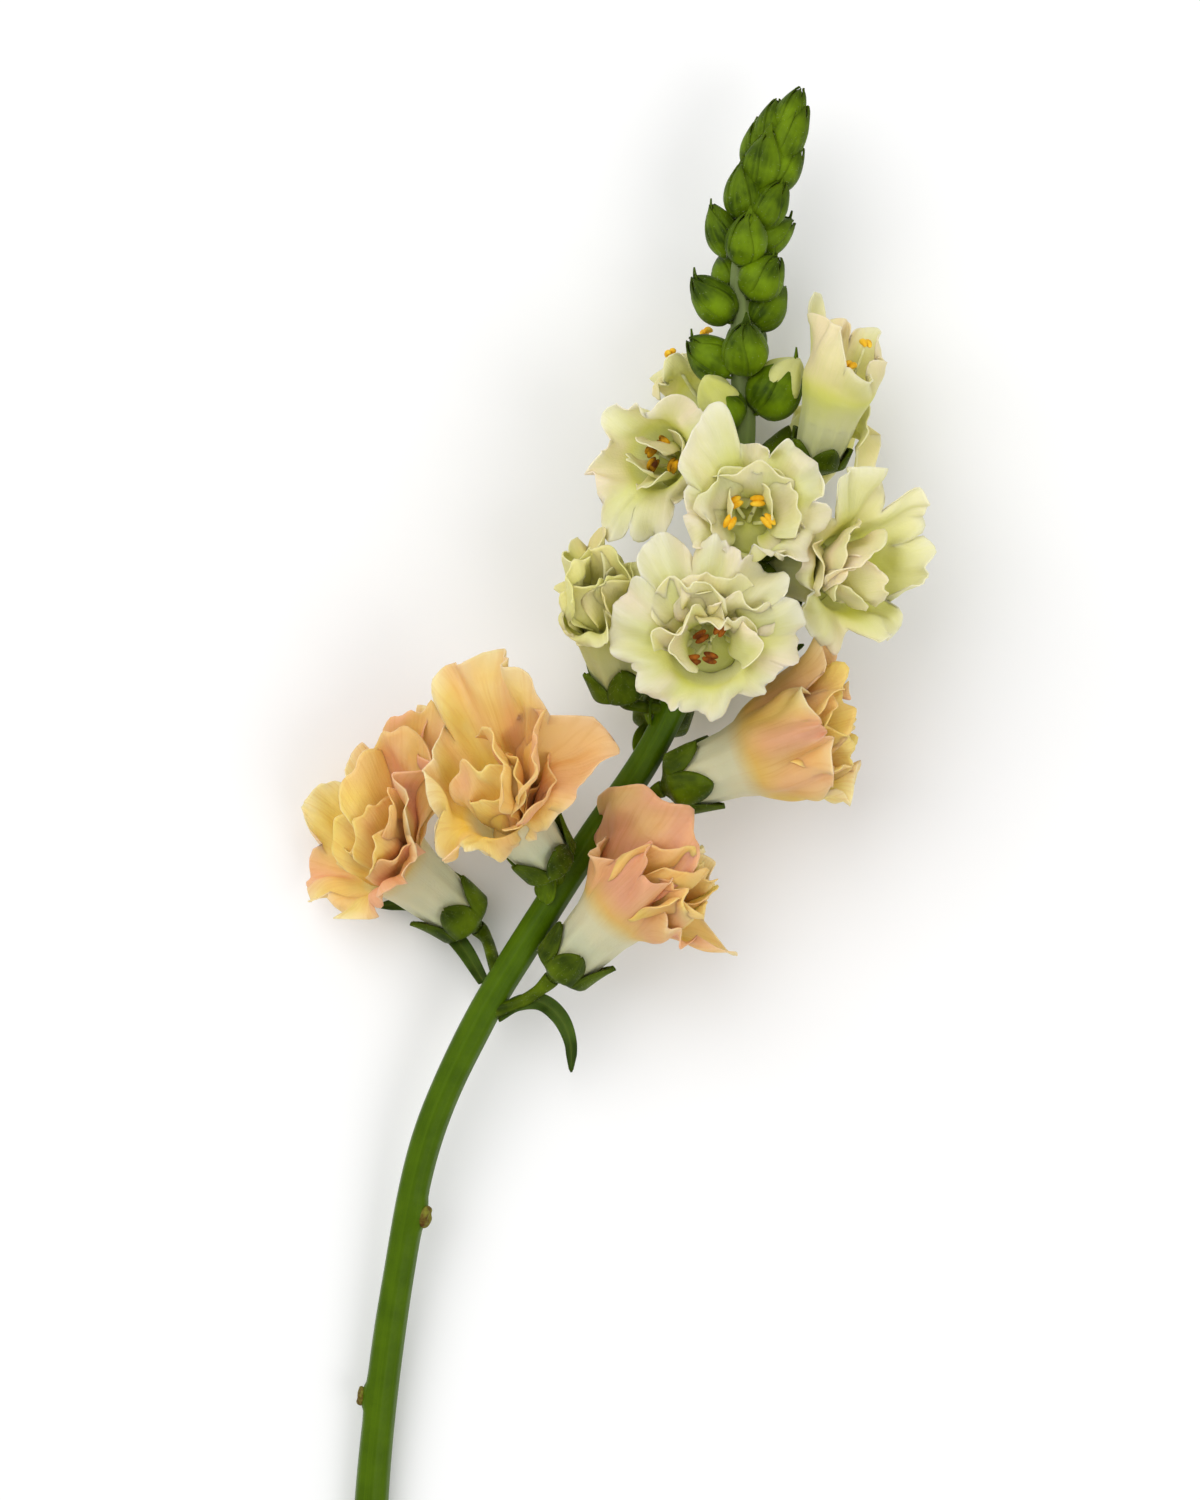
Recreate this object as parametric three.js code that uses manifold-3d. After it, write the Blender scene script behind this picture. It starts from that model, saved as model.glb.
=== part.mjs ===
// A cut stem of a double (azalea-flowered) snapdragon, lying on a table.
//
// Millimetres. +Z points up from the table, and the stem runs along +Y from its cut foot
// to the tip of its bud spire. The origin is under the middle of the whole stem.

import * as THREE from 'three';
import { mergeVertices } from 'three/addons/utils/BufferGeometryUtils.js';
import Module from 'manifold-3d';

const wasm = await Module();
wasm.setup();

// ---------------------------------------------------------------- driving dimensions

const BLADE = 0.62; // thickness of petals, sepals and leaves
const CLEARANCE = 0.3; // gap between neighbouring pieces
const CENTRE = new THREE.Vector3(2.3, -25.3, 0); // middle of the stem, seen from above

// The middle line of the stem from its foot to its tip: [x, y, height, radius].
const STEM_LINE = [
  [-48.2, -180, 3.5, 3.5],
  [-45.6, -142, 5.8, 3.35],
  [-41.1, -108, 9, 3.15],
  [-34.8, -78, 12.6, 3.1],
  [-24.1, -54, 15.8, 3.2],
  [-13.3, -36, 18, 3.15],
  [-1.6, -17.6, 20, 3.05],
  [10.2, 0, 21.4, 3],
  [20, 22, 22.6, 2.9],
  [25.6, 42, 23.4, 2.75],
  [28.4, 62, 24, 2.55],
  [28.3, 80, 24.2, 2.2],
  [28, 96, 24.2, 1.8],
  [30.4, 108, 24.2, 1.45],
  [35, 120, 24.2, 1.05],
  [39.2, 129, 24.2, 0.6],
];
const STEM_SIDES = 8;
const STEM_STEPS = 26;
const STEM_TIP = 0.6;
const FOOT_SLANT = 0.45; // slope of the cut across the foot

const TUBE_WALL = 0.8;
const THROAT_DEPTH = 5.5; // from the mouth down to the floor that the inner petals grow from
const MOUTH_SHARE = 0.93; // radius of the sheet's middle at the mouth, as a share of the bore
const INNER_SHARE = 0.55; // radius at which the inner petals stand, as a share of the bore
const CENTRE_SHARE = 0.3;
const OUTER_START = 14; // degrees that the outer petals lean out at the mouth
const INNER_START = 4;
const PLEAT = 14; // degrees by which a sheet stands up more between two lobes
const TABLE_REACH = 3; // petals lower than this bend flat along the table

// ---------------------------------------------------------------- small maths

const rad = THREE.MathUtils.degToRad;
const lerp = THREE.MathUtils.lerp;

// Unit vector from a compass angle in the table's plane and an angle above it.
function pointing(compass, above) {
  const flat = Math.cos(rad(above));
  const x = flat * Math.cos(rad(compass));
  const y = flat * Math.sin(rad(compass));
  return new THREE.Vector3(x, y, Math.sin(rad(above)));
}

// Whatever would sink into the table is laid along it, in the same order of layers.
function layOnTable(point) {
  const lowest = BLADE / 2;
  if (point.z < TABLE_REACH) {
    const room = TABLE_REACH - lowest;
    point.z = lowest + room * Math.exp((point.z - TABLE_REACH) / room);
  }
  return point;
}

// ---------------------------------------------------------------- closed meshes

const NEAR = 0.01; // step along a surface by which its direction is found
const WELD = 1e-5;
const CUT_WELD = 1e-4;

function meshOf(points, triangles) {
  const geometry = new THREE.BufferGeometry().setFromPoints(points);
  let volume = 0;
  for (const [a, b, c] of triangles) {
    volume += points[a].dot(points[b].clone().cross(points[c]));
  }
  const outward = volume > 0 ? triangles : triangles.map(([a, b, c]) => [a, c, b]);
  geometry.setIndex(outward.flat());
  return geometry;
}

// Closed skin over a row of rings, drawn to a point at each end.
function skinOver(start, rings, end) {
  const sides = rings[0].length;
  const points = [start, ...rings.flat(), end];
  const last = points.length - 1;
  const at = (ring, side) => 1 + ring * sides + (side % sides);
  const triangles = [];
  for (let side = 0; side < sides; side += 1) {
    triangles.push([0, at(0, side + 1), at(0, side)]);
    triangles.push([last, at(rings.length - 1, side), at(rings.length - 1, side + 1)]);
    for (let ring = 0; ring < rings.length - 1; ring += 1) {
      const [a, b] = [at(ring, side), at(ring, side + 1)];
      const [c, d] = [at(ring + 1, side), at(ring + 1, side + 1)];
      triangles.push([a, b, d], [a, d, c]);
    }
  }
  return meshOf(points, triangles);
}

// Thin blade over a surface given by along 0..1 and across -1..1. Both faces have the same
// triangles, so they stay apart where the blade is waved.
function bladeOver(surface, [cellsAcross, cellsAlong], thickness = BLADE) {
  const upper = [];
  const lower = [];
  for (let row = 0; row <= cellsAlong; row += 1) {
    for (let column = 0; column <= cellsAcross; column += 1) {
      const along = row / cellsAlong;
      const across = (2 * column) / cellsAcross - 1;
      const [ahead, behind] = [Math.min(along + NEAR, 1), Math.max(along - NEAR, 0)];
      const up = surface(ahead, across).sub(surface(behind, across));
      const side = surface(along, across + NEAR).sub(surface(along, across - NEAR));
      const normal = up.cross(side).normalize().multiplyScalar(thickness / 2);
      upper.push(surface(along, across).add(normal));
      lower.push(surface(along, across).sub(normal));
    }
  }
  const wide = cellsAcross + 1;
  const count = upper.length;
  const triangles = [];
  for (let row = 0; row < cellsAlong; row += 1) {
    for (let column = 0; column < cellsAcross; column += 1) {
      const a = row * wide + column;
      const [b, c, d] = [a + 1, a + wide, a + wide + 1];
      const leans = (row + column) % 2 === 0;
      const faces = leans ? [[a, b, d], [a, d, c]] : [[a, b, c], [b, d, c]];
      for (const [i, j, k] of faces) {
        triangles.push([i, j, k], [i + count, k + count, j + count]);
      }
    }
  }
  const rim = [];
  for (let column = 0; column < cellsAcross; column += 1) rim.push(column);
  for (let row = 0; row < cellsAlong; row += 1) rim.push(row * wide + cellsAcross);
  for (let column = cellsAcross; column > 0; column -= 1) rim.push(cellsAlong * wide + column);
  for (let row = cellsAlong; row > 0; row -= 1) rim.push(row * wide);
  rim.forEach((i, place) => {
    const j = rim[(place + 1) % rim.length];
    triangles.push([i, i + count, j], [j, i + count, j + count]);
  });
  return meshOf([...upper, ...lower], triangles);
}

// ---------------------------------------------------------------- joining and cutting

function solid(geometry) {
  const merged = mergeVertices(geometry, WELD);
  return new wasm.Manifold(
    new wasm.Mesh({
      numProp: 3,
      vertProperties: Float32Array.from(merged.attributes.position.array),
      triVerts: Uint32Array.from(merged.index.array),
    }),
  );
}

function joined(solids) {
  return solids.reduce((whole, piece) => whole.add(piece));
}

// The body with the most triangles, without the scraps that a cut can leave.
function largestBody(manifold) {
  const { vertProperties, triVerts } = manifold.getMesh();
  const owner = Array.from({ length: vertProperties.length / 3 }, (_, i) => i);
  const root = (i) => {
    let top = i;
    while (owner[top] !== top) {
      owner[top] = owner[owner[top]];
      top = owner[top];
    }
    return top;
  };
  for (let t = 0; t < triVerts.length; t += 3) {
    owner[root(triVerts[t + 1])] = root(triVerts[t]);
    owner[root(triVerts[t + 2])] = root(triVerts[t]);
  }
  const bodies = new Map();
  for (let t = 0; t < triVerts.length; t += 3) {
    const body = root(triVerts[t]);
    if (!bodies.has(body)) bodies.set(body, []);
    bodies.get(body).push(triVerts[t], triVerts[t + 1], triVerts[t + 2]);
  }
  const largest = [...bodies.values()].sort((a, b) => b.length - a.length)[0];
  const geometry = new THREE.BufferGeometry();
  geometry.setAttribute('position', new THREE.Float32BufferAttribute(vertProperties, 3));
  geometry.setIndex(largest);
  return mergeVertices(geometry.toNonIndexed(), CUT_WELD);
}

// ---------------------------------------------------------------- stem

const stemCurve = new THREE.CatmullRomCurve3(
  STEM_LINE.map(([x, y, height]) => new THREE.Vector3(x, y, height)),
  false,
  'centripetal',
);

function stemRadius(place) {
  const step = place * (STEM_LINE.length - 1);
  const low = Math.min(Math.floor(step), STEM_LINE.length - 2);
  return lerp(STEM_LINE[low][3], STEM_LINE[low + 1][3], step - low);
}

// Place along the stem, 0 at the foot and 1 at the tip, where it passes a given y.
function stemPlaceAt(y) {
  let [low, high] = [0, 1];
  for (let halving = 0; halving < 30; halving += 1) {
    const middle = (low + high) / 2;
    if (stemCurve.getPoint(middle).y < y) low = middle;
    else high = middle;
  }
  return low;
}

// Rings round a curve, with the first side turned towards +Z.
function ringAround(centre, direction, radius, sides, squash = 1) {
  const side = new THREE.Vector3(0, 0, 1).cross(direction).normalize();
  const top = direction.clone().cross(side).normalize();
  const ring = [];
  for (let k = 0; k < sides; k += 1) {
    const angle = (2 * Math.PI * k) / sides;
    const out = top.clone().multiplyScalar(Math.cos(angle) * squash);
    out.addScaledVector(side, Math.sin(angle));
    ring.push(centre.clone().addScaledVector(out, radius));
  }
  return ring;
}

function stemTube(extra = 0) {
  const rings = [];
  for (let step = 0; step <= STEM_STEPS; step += 1) {
    const place = step / STEM_STEPS;
    const centre = stemCurve.getPoint(place);
    const direction = stemCurve.getTangent(place);
    rings.push(ringAround(centre, direction, stemRadius(place) + extra, STEM_SIDES));
  }
  // The foot is cut on a slant.
  for (const point of rings[0]) {
    point.y -= (point.x - STEM_LINE[0][0]) * FOOT_SLANT;
  }
  const foot = stemCurve.getPoint(0);
  const tip = stemCurve.getPoint(1).addScaledVector(stemCurve.getTangent(1), STEM_TIP);
  return solid(skinOver(foot, rings, tip));
}

// Frame on the stem's surface: where something leaves it, and which way is out.
function stemFrame(y, turn) {
  const place = stemPlaceAt(y);
  const centre = stemCurve.getPoint(place);
  const direction = stemCurve.getTangent(place);
  const side = direction.clone().cross(new THREE.Vector3(0, 0, 1)).normalize();
  const out = side.clone().cross(direction).multiplyScalar(Math.cos(rad(turn)));
  out.addScaledVector(side, Math.sin(rad(turn)));
  return { centre, direction, out, radius: stemRadius(place) };
}

// Scars left by stripped leaves: [y, angle round the stem from the top, size].
const LEAF_SCARS = [
  [-93.5, 58, 2.1],
  [-131.5, -82, 1.8],
];

// Height and share of the scar's size at each of its rings, and its lean up the stem.
const SCAR_RINGS = [
  [-1.2, 1],
  [0.5, 1],
  [1.2, 0.6],
];
const SCAR_ROOT = -1.8;
const SCAR_TIP = 1.4;
const SCAR_LEAN = 0.8;

function leafScar([y, turn, size]) {
  const { centre, direction, out, radius } = stemFrame(y, turn);
  const at = (height) => {
    const point = centre.clone().addScaledVector(out, radius + height);
    return point.addScaledVector(direction, height * SCAR_LEAN);
  };
  const rings = SCAR_RINGS.map(([height, share]) => ringAround(at(height), out, size * share, 6));
  return solid(skinOver(at(SCAR_ROOT), rings, at(SCAR_TIP)));
}

// ---------------------------------------------------------------- buds

// The closed buds, from the lowest up: [y, angle round the stem, length, width, lean].
// The angle is 0 towards +Z and 90 towards +X, and the lean is away from the stem.
const BUDS = [
  [66.5, -48, 11.5, 8.4, 40],
  [68.5, 74, 13, 9.8, 42],
  [76, -80, 10.8, 8.8, 52],
  [76.5, 5, 11.8, 8.8, 40],
  [80, 168, 11, 7.8, 48],
  [85.5, 112, 10.8, 8, 46],
  [87, -70, 11.4, 8, 42],
  [91.5, 56, 10.2, 8.6, 44],
  [93, -160, 10, 7.4, 42],
  [98, 6, 10.2, 7.6, 32],
  [99.5, -82, 10.8, 6.8, 32],
  [101.5, 100, 10, 7.2, 48],
  [102, 178, 9.4, 6.6, 36],
  [106, 46, 9.4, 7.2, 34],
  [106.5, -42, 10.4, 6.6, 24],
  [109.5, 176, 9, 5.8, 26],
  [112.5, -18, 11.4, 7, 20],
  [113.5, 64, 9.6, 6.2, 24],
  [115.5, -96, 9, 5.6, 24],
  [118.5, 34, 13, 5.6, 10],
  [120, -74, 9.4, 5, 14],
  [121, 170, 9, 4.6, 14],
  [123.5, -6, 9.6, 4.6, 6],
];
const BUD_SIDES = 6;
const BUD_RINGS = [
  [0.08, 0.52],
  [0.34, 1],
  [0.66, 0.86],
  [0.9, 0.4],
];

const BUD_SINK = 0.12; // share of a bud's size that sits inside the stem
const BUD_RIDGE = 0.05; // height of the sepals' backs, as a share of the radius

function bud([y, turn, length, width, lean]) {
  const { centre, direction, out, radius } = stemFrame(y, turn);
  const axis = direction.clone().multiplyScalar(Math.cos(rad(lean)));
  axis.addScaledVector(out, Math.sin(rad(lean)));
  const base = centre.clone().addScaledVector(out, radius + width * BUD_SINK);
  base.addScaledVector(axis, -length * BUD_SINK);
  const rings = BUD_RINGS.map(([along, breadth], index) => {
    const middle = base.clone().addScaledVector(axis, along * length);
    const ring = ringAround(middle, axis, (breadth * width) / 2, BUD_SIDES);
    return ring.map((point, side) => {
      const ridge = (side + index) % 2 === 0 ? BUD_RIDGE : -BUD_RIDGE;
      return point.lerp(middle, -ridge);
    });
  });
  const end = base.clone().addScaledVector(axis, length);
  return solid(skinOver(base, rings, end));
}

// The bracts under the flower stalks, in the same form as the buds.
const BRACTS = [
  [-31, -24, 7.5, 5, 44],
  [-14, 82, 8, 3.4, 46],
  [-2, -140, 8, 3.2, 40],
  [4, -66, 8, 3.2, 40],
  [31, 66, 8, 3.2, 50],
  [48.5, 74, 8, 3.2, 50],
  [50.5, -66, 8, 3.2, 50],
  [60, -118, 8, 3.2, 40],
];

const BRACT_ROOT = 0.5; // depth of a bract's foot inside the stem
const BRACT_BEND = 0.45; // share of the lean that is gone at the tip
const BRACT_CUP = 0.35;
const BRACT_CELLS = [2, 2];

// Half the width of a bract along its length: narrow foot, full middle, pointed tip.
function bractHalf(along, width) {
  return (width / 2) * Math.sin(0.35 + 2.6 * along ** 0.8);
}

// A narrow bract under a bud or a flower stalk.
function bract([y, turn, length, width, lean], thickness = BLADE) {
  const { centre, direction, out, radius } = stemFrame(y, turn);
  const side = direction.clone().cross(out).normalize();
  const surface = (along, across) => {
    const bend = rad(lean) * (1 - BRACT_BEND * along);
    const point = centre.clone().addScaledVector(out, radius - BRACT_ROOT);
    point.addScaledVector(direction, along * length * Math.cos(bend));
    point.addScaledVector(out, along * length * Math.sin(bend));
    const half = bractHalf(along, width);
    point.addScaledVector(side, across * half);
    return point.addScaledVector(out, across * across * half * BRACT_CUP);
  };
  return solid(bladeOver(surface, BRACT_CELLS, thickness));
}

// ---------------------------------------------------------------- blooms

// Each bloom is given by the middle of its mouth, the way its throat looks (compass angle
// in the table's plane, angle above it), the compass angle of its upper lip, the length
// and the mouth radius of its tube, and where its stalk leaves the stem (y and turn).
//
// outer and inner: [around, length, lean, curl, wave, cleft]
// These are the lobes of the limb and of the frilled petals that stand in the throat.
// The angle around runs clockwise from the upper lip for a viewer who faces the bloom.
// The lean is the angle between the tip and the throat's line. Curl bends the rim further
// back, the wave is the height of the frills, and the cleft is how deep the sheet is cut
// beside the lobe. Flare is how far the sheet leans out where it leaves the mouth.
const BLOOMS = [
  {
    name: '01',
    mouth: [46.8, 73, 31],
    looks: [87, 16],
    lip: 180,
    tube: 18,
    bore: 6.6,
    stalk: [52, 70],
    stamens: true,
    outer: [
      [-20, 15, 4, 0, 1, 0.25],
      [40, 18, 6, 10, 1.2, 0.3],
      [110, 11, 20, 10, 1, 0.25],
      [185, 12, 40, 20, 1.4, 0.25],
      [260, 10, 30, 30, 1.4, 0.25],
    ],
  },
  {
    name: '02',
    mouth: [12.4, 57.6, 35.4],
    looks: [166, 52],
    lip: 90,
    tube: 16,
    bore: 6.8,
    flare: 24,
    stalk: [54, -60],
    stamens: true,
    outer: [
      [-30, 10, 64, 20, 1.5, 0.3],
      [34, 10, 64, 25, 1.5, 0.3],
      [100, 8, 64, 20, 1.4, 0.3],
      [166, 11, 68, 20, 1.6, 0.3],
      [214, 16, 70, 20, 1.8, 0.3],
      [282, 12, 74, 20, 1.4, 0.35],
    ],
    inner: [
      [0, 8, 24, 20, 0.6, 0.3],
      [66, 7, 20, 20, 0.6, 0.4],
      [133, 8, 24, 20, 0.6, 0.4],
      [190, 9, 30, 20, 0.8, 0.4],
      [248, 9, 30, 20, 0.8, 0.4],
      [306, 8, 28, 20, 0.8, 0.4],
    ],
  },
  {
    name: '03',
    mouth: [20, 72.6, 11],
    looks: [116, -8],
    lip: 40,
    tube: 14,
    bore: 6,
    stalk: [62, -112],
    stamens: true,
    outer: [
      [0, 8, 28, 20, 1.4, 0.3],
      [75, 9, 26, 20, 1.4, 0.3],
      [145, 8, 30, 20, 1.4, 0.3],
      [215, 8, 30, 20, 1.4, 0.3],
      [290, 9, 22, 20, 1.4, 0.3],
    ],
  },
  {
    name: '04',
    mouth: [29.4, 45.4, 44],
    looks: [70, 80],
    lip: 92,
    tube: 16,
    bore: 8.2,
    flare: 26,
    stalk: [38, 12],
    stamens: true,
    outer: [
      [-36, 18, 70, 15, 1.1, 0.3],
      [38, 16, 76, 30, 1.6, 0.25],
      [104, 12, 70, 25, 1.6, 0.3],
      [170, 8, 20, 25, 1.4, 0.1],
      [250, 11, 54, 20, 1.2, 0.25],
    ],
    inner: [
      [0, 8.5, 2, -20, 0.5, 0.3],
      [71, 8, 10, 0, 0.6, 0.5],
      [137, 7, 14, 0, 0.5, 0.5],
      [210, 7, 10, 0, 0.5, 0.5],
      [286, 8, 8, 0, 0.5, 0.4],
    ],
  },
  {
    name: '05',
    mouth: [21.2, 20.6, 45.5],
    looks: [-108, 79],
    lip: 92,
    tube: 18,
    bore: 8.6,
    flare: 24,
    stalk: [17, 6],
    stamens: true,
    outer: [
      [-26, 22, 56, 15, 1.8, 0.3],
      [8, 16, 62, 20, 2, 0.25],
      [44, 15, 70, 20, 1.8, 0.25],
      [82, 15, 72, 25, 1.6, 0.25],
      [136, 11, 64, 25, 1.8, 0.15],
      [180, 9, 66, 20, 1.8, 0.25],
      [222, 12, 66, 25, 1.8, 0.25],
      [280, 14, 70, 30, 1.6, 0.3],
    ],
    inner: [
      [-9, 13, 20, 10, 1.4, 0.35],
      [26, 13, 14, 10, 1.4, 0.35],
      [63, 14, 22, 10, 1.4, 0.45],
      [109, 12, 20, 10, 1.2, 0.45],
      [158, 8, 26, 10, 1, 0.45],
      [201, 8, 26, 10, 1, 0.45],
      [251, 10, 24, 10, 1, 0.45],
      [307, 13, 18, 10, 1.2, 0.45],
    ],
  },
  {
    name: '06',
    mouth: [-0.2, 23.4, 31],
    looks: [112, 24],
    lip: 50,
    tube: 16,
    bore: 7.8,
    flare: 30,
    stalk: [7, -62],
    outer: [
      [-20, 18, 8, 10, 1.6, 0.25],
      [45, 19, 4, 0, 1.6, 0.25],
      [110, 16, 6, 10, 1.6, 0.2],
      [175, 14, 10, 10, 1.6, 0.2],
      [240, 14, 12, 10, 1.6, 0.25],
      [300, 16, 14, 10, 1.6, 0.25],
    ],
    inner: [
      [12, 17, 6, 10, 1.2, 0.35],
      [78, 17, 4, 10, 1.2, 0.35],
      [142, 16, 4, 10, 1.2, 0.35],
      [208, 15, 4, 10, 1.2, 0.35],
      [270, 16, 4, 10, 1.2, 0.35],
      [320, 17, 6, 10, 1.2, 0.35],
    ],
  },
  {
    name: '07',
    mouth: [46.6, 35, 35.5],
    looks: [-4, 42],
    lip: 95,
    tube: 18,
    bore: 8,
    flare: 26,
    stalk: [34, 62],
    outer: [
      [-20, 16, 64, 20, 1.6, 0.25],
      [26, 20, 64, 15, 1.6, 0.25],
      [84, 17, 46, 20, 1.6, 0.4],
      [142, 13.5, 60, 20, 1.6, 0.35],
      [208, 13, 66, 25, 1.8, 0.3],
      [272, 9, 50, 20, 1.4, 0.3],
    ],
    inner: [
      [3, 13, 22, 10, 1.2, 0.4],
      [55, 15, 26, 10, 1.2, 0.35],
      [113, 14, 26, 10, 1.2, 0.45],
      [175, 11, 22, 10, 1, 0.45],
      [240, 10, 22, 10, 1, 0.45],
      [306, 11, 16, 10, 1, 0.45],
    ],
  },
  {
    name: '08',
    mouth: [29.4, -1.6, 28],
    looks: [20, 12],
    lip: 110,
    tube: 17,
    bore: 8.4,
    flare: 32,
    stalk: [-11, 82],
    outer: [
      [-5, 24, 14, 0, 1.8, 0.2],
      [60, 18, 8, 10, 1.6, 0.2],
      [130, 17, 8, 25, 1.6, 0.2],
      [195, 18, 14, 25, 1.8, 0.25],
      [275, 17, 4, -10, 1.2, 0.2],
    ],
    inner: [
      [28, 19, 12, 25, 1.4, 0.35],
      [95, 18, 10, 25, 1.4, 0.35],
      [163, 17, 12, 25, 1.4, 0.35],
      [235, 18, 8, 25, 1.4, 0.35],
      [315, 19, 10, 25, 1.4, 0.35],
    ],
  },
  {
    name: '09',
    mouth: [-18.4, -11.6, 37],
    looks: [128, 40],
    lip: 88,
    tube: 19,
    bore: 8,
    flare: 26,
    stalk: [-27.5, -28],
    outer: [
      [-6, 26, 50, 10, 1.3, 0.4],
      [62, 25, 76, 10, 1, 0.5],
      [122, 11, 66, 40, 1.2, 0.3],
      [172, 11, 66, 40, 1.4, 0.25],
      [222, 14, 58, 40, 1.8, 0.25],
      [284, 17, 60, 25, 1.8, 0.35],
    ],
    inner: [
      [28, 17, 30, 15, 1.4, 0.35],
      [92, 12, 26, 15, 1, 0.45],
      [147, 10, 24, 15, 1, 0.45],
      [197, 12, 30, 20, 1.2, 0.45],
      [253, 14, 26, 15, 1.2, 0.45],
      [319, 15, 22, 10, 1.4, 0.4],
    ],
  },
  {
    name: '10',
    mouth: [-40.6, -23, 15],
    looks: [142, 24],
    lip: 70,
    tube: 19,
    bore: 8,
    flare: 26,
    stalk: [-46, -64],
    outer: [
      [-36, 19, 56, 15, 1.6, 0.25],
      [12, 28, 58, 15, 1.6, 0.3],
      [88, 14, 50, 20, 1.4, 0.25],
      [150, 13, 52, 25, 1.4, 0.2],
      [212, 17, 66, 15, 1.6, 0.3],
      [276, 19, 62, 15, 1.8, 0.3],
    ],
    inner: [
      [-3, 16, 24, 15, 1.4, 0.35],
      [54, 15, 20, 15, 1.2, 0.35],
      [119, 12, 20, 15, 1, 0.45],
      [181, 11, 24, 15, 1, 0.45],
      [244, 13, 26, 15, 1.2, 0.4],
      [305, 14, 24, 15, 1.4, 0.4],
    ],
  },
  {
    name: '11',
    mouth: [2.6, -32.6, 26.5],
    looks: [47, 18],
    lip: 110,
    tube: 17.5,
    bore: 8,
    flare: 36,
    stalk: [-52, 66],
    outer: [
      [-45, 23, 34, 0, 1.4, 0.3],
      [40, 18, 18, -10, 1.4, 0.25],
      [105, 18, 2, -8, 1.2, 0.2],
      [165, 25, 54, 10, 0.8, 0.4],
      [235, 17, 10, 10, 1.2, 0.2],
    ],
    inner: [
      [0, 18, 20, 10, 1.4, 0.35],
      [72, 16, 8, 10, 1.2, 0.35],
      [135, 17, 18, 20, 1.2, 0.35],
      [200, 18, 28, 20, 1.2, 0.35],
      [275, 18, 14, 20, 1.4, 0.35],
    ],
  },
  {
    name: '12',
    mouth: [43.6, 63, 11],
    looks: [38, -20],
    lip: 110,
    tube: 15,
    bore: 6.4,
    stalk: [57, 112],
    outer: [
      [0, 10, 44, 20, 1.4, 0.3],
      [70, 10, 40, 20, 1.4, 0.3],
      [140, 10, 44, 20, 1.4, 0.3],
      [215, 10, 50, 20, 1.4, 0.3],
      [290, 11, 36, 20, 1.4, 0.3],
    ],
  },
  {
    name: '13',
    mouth: [15, 18, 10],
    looks: [78, -26],
    lip: 70,
    tube: 16,
    bore: 7,
    stalk: [1, -145],
    outer: [
      [0, 13, 60, 20, 1.6, 0.35],
      [72, 12, 60, 20, 1.6, 0.35],
      [144, 12, 60, 20, 1.6, 0.35],
      [216, 12, 60, 20, 1.6, 0.35],
      [288, 12, 60, 20, 1.6, 0.35],
    ],
  },
];

// The bloom's own frame: out through the throat, up to the upper lip, and to the side.
function bloomFrame(bloom) {
  const out = pointing(...bloom.looks);
  const lip = pointing(bloom.lip, 0);
  const up = lip.addScaledVector(out, -lip.dot(out)).normalize();
  const side = up.clone().cross(out);
  const mouth = new THREE.Vector3(...bloom.mouth);
  const base = mouth.clone().addScaledVector(out, -bloom.tube);
  return { out, up, side, mouth, base };
}

function radial(frame, around) {
  const direction = frame.up.clone().multiplyScalar(Math.cos(rad(around)));
  return direction.addScaledVector(frame.side, Math.sin(rad(around)));
}

// Radius of the tube at a place from its base, 0, to its mouth, 1, as a share of the bore.
const TUBE_FOOT = 0.1;
const TUBE_THROAT = 0.8;
const TUBE_PROFILE = [
  [0, 0],
  [TUBE_FOOT, 0.6],
  [TUBE_THROAT, 0.8],
  [1, 0.97],
];

function tubeRadius(bloom, place) {
  const next = Math.max(1, TUBE_PROFILE.findIndex(([at]) => at >= Math.min(place, 1)));
  const [[a, low], [b, high]] = [TUBE_PROFILE[next - 1], TUBE_PROFILE[next]];
  return bloom.bore * lerp(low, high, (place - a) / (b - a));
}

// A point that lies forward along the throat's line and out from it, in a given direction.
function bloomPoint(frame, forward, outward, around) {
  const point = frame.mouth.clone().addScaledVector(frame.out, forward);
  return layOnTable(point.addScaledVector(radial(frame, around), outward));
}

const LINE_STEPS = 10;

// Place on a petal's line that starts along the throat and bends away: forward, outward
// and the angle there.
function bentLine(length, reach, start, lean, curl) {
  const angleAt = (along) => rad(lerp(start, lean, along * (2 - along)) + curl * along ** 3);
  let [forward, outward] = [0, 0];
  for (let step = 0; step < LINE_STEPS; step += 1) {
    const angle = angleAt(((step + 0.5) * reach) / LINE_STEPS);
    forward += (Math.cos(angle) * reach * length) / LINE_STEPS;
    outward += (Math.sin(angle) * reach * length) / LINE_STEPS;
  }
  return [forward, outward, angleAt(reach)];
}

const turned = (angle) => ((angle % 360) + 360) % 360;
const CLEFT_WIDTH = 0.13; // width of the cut between two lobes, as a share of their spacing
const LOBE_ROUNDING = 0.6;

// Shape of a whorl at an angle around the throat, blended between the two nearest lobes.
function whorlShape(lobes, around) {
  const from = lobes.reduce((best, lobe) =>
    turned(around - lobe[0]) < turned(around - best[0]) ? lobe : best,
  );
  const to = lobes[(lobes.indexOf(from) + 1) % lobes.length];
  const span = turned(to[0] - from[0]);
  const place = turned(around - from[0]) / span;
  const blend = place * place * (3 - 2 * place);
  const [, length, lean, curl, wave, cleft] = from.map((value, i) => lerp(value, to[i], blend));
  const between = Math.exp(-(((place - 0.5) / CLEFT_WIDTH) ** 2));
  const rounding = LOBE_ROUNDING * Math.min(place, 1 - place) ** 2;
  return {
    length: length * (1 - cleft * between - rounding),
    lean: lean - PLEAT * between,
    curl,
    wave,
  };
}

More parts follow.
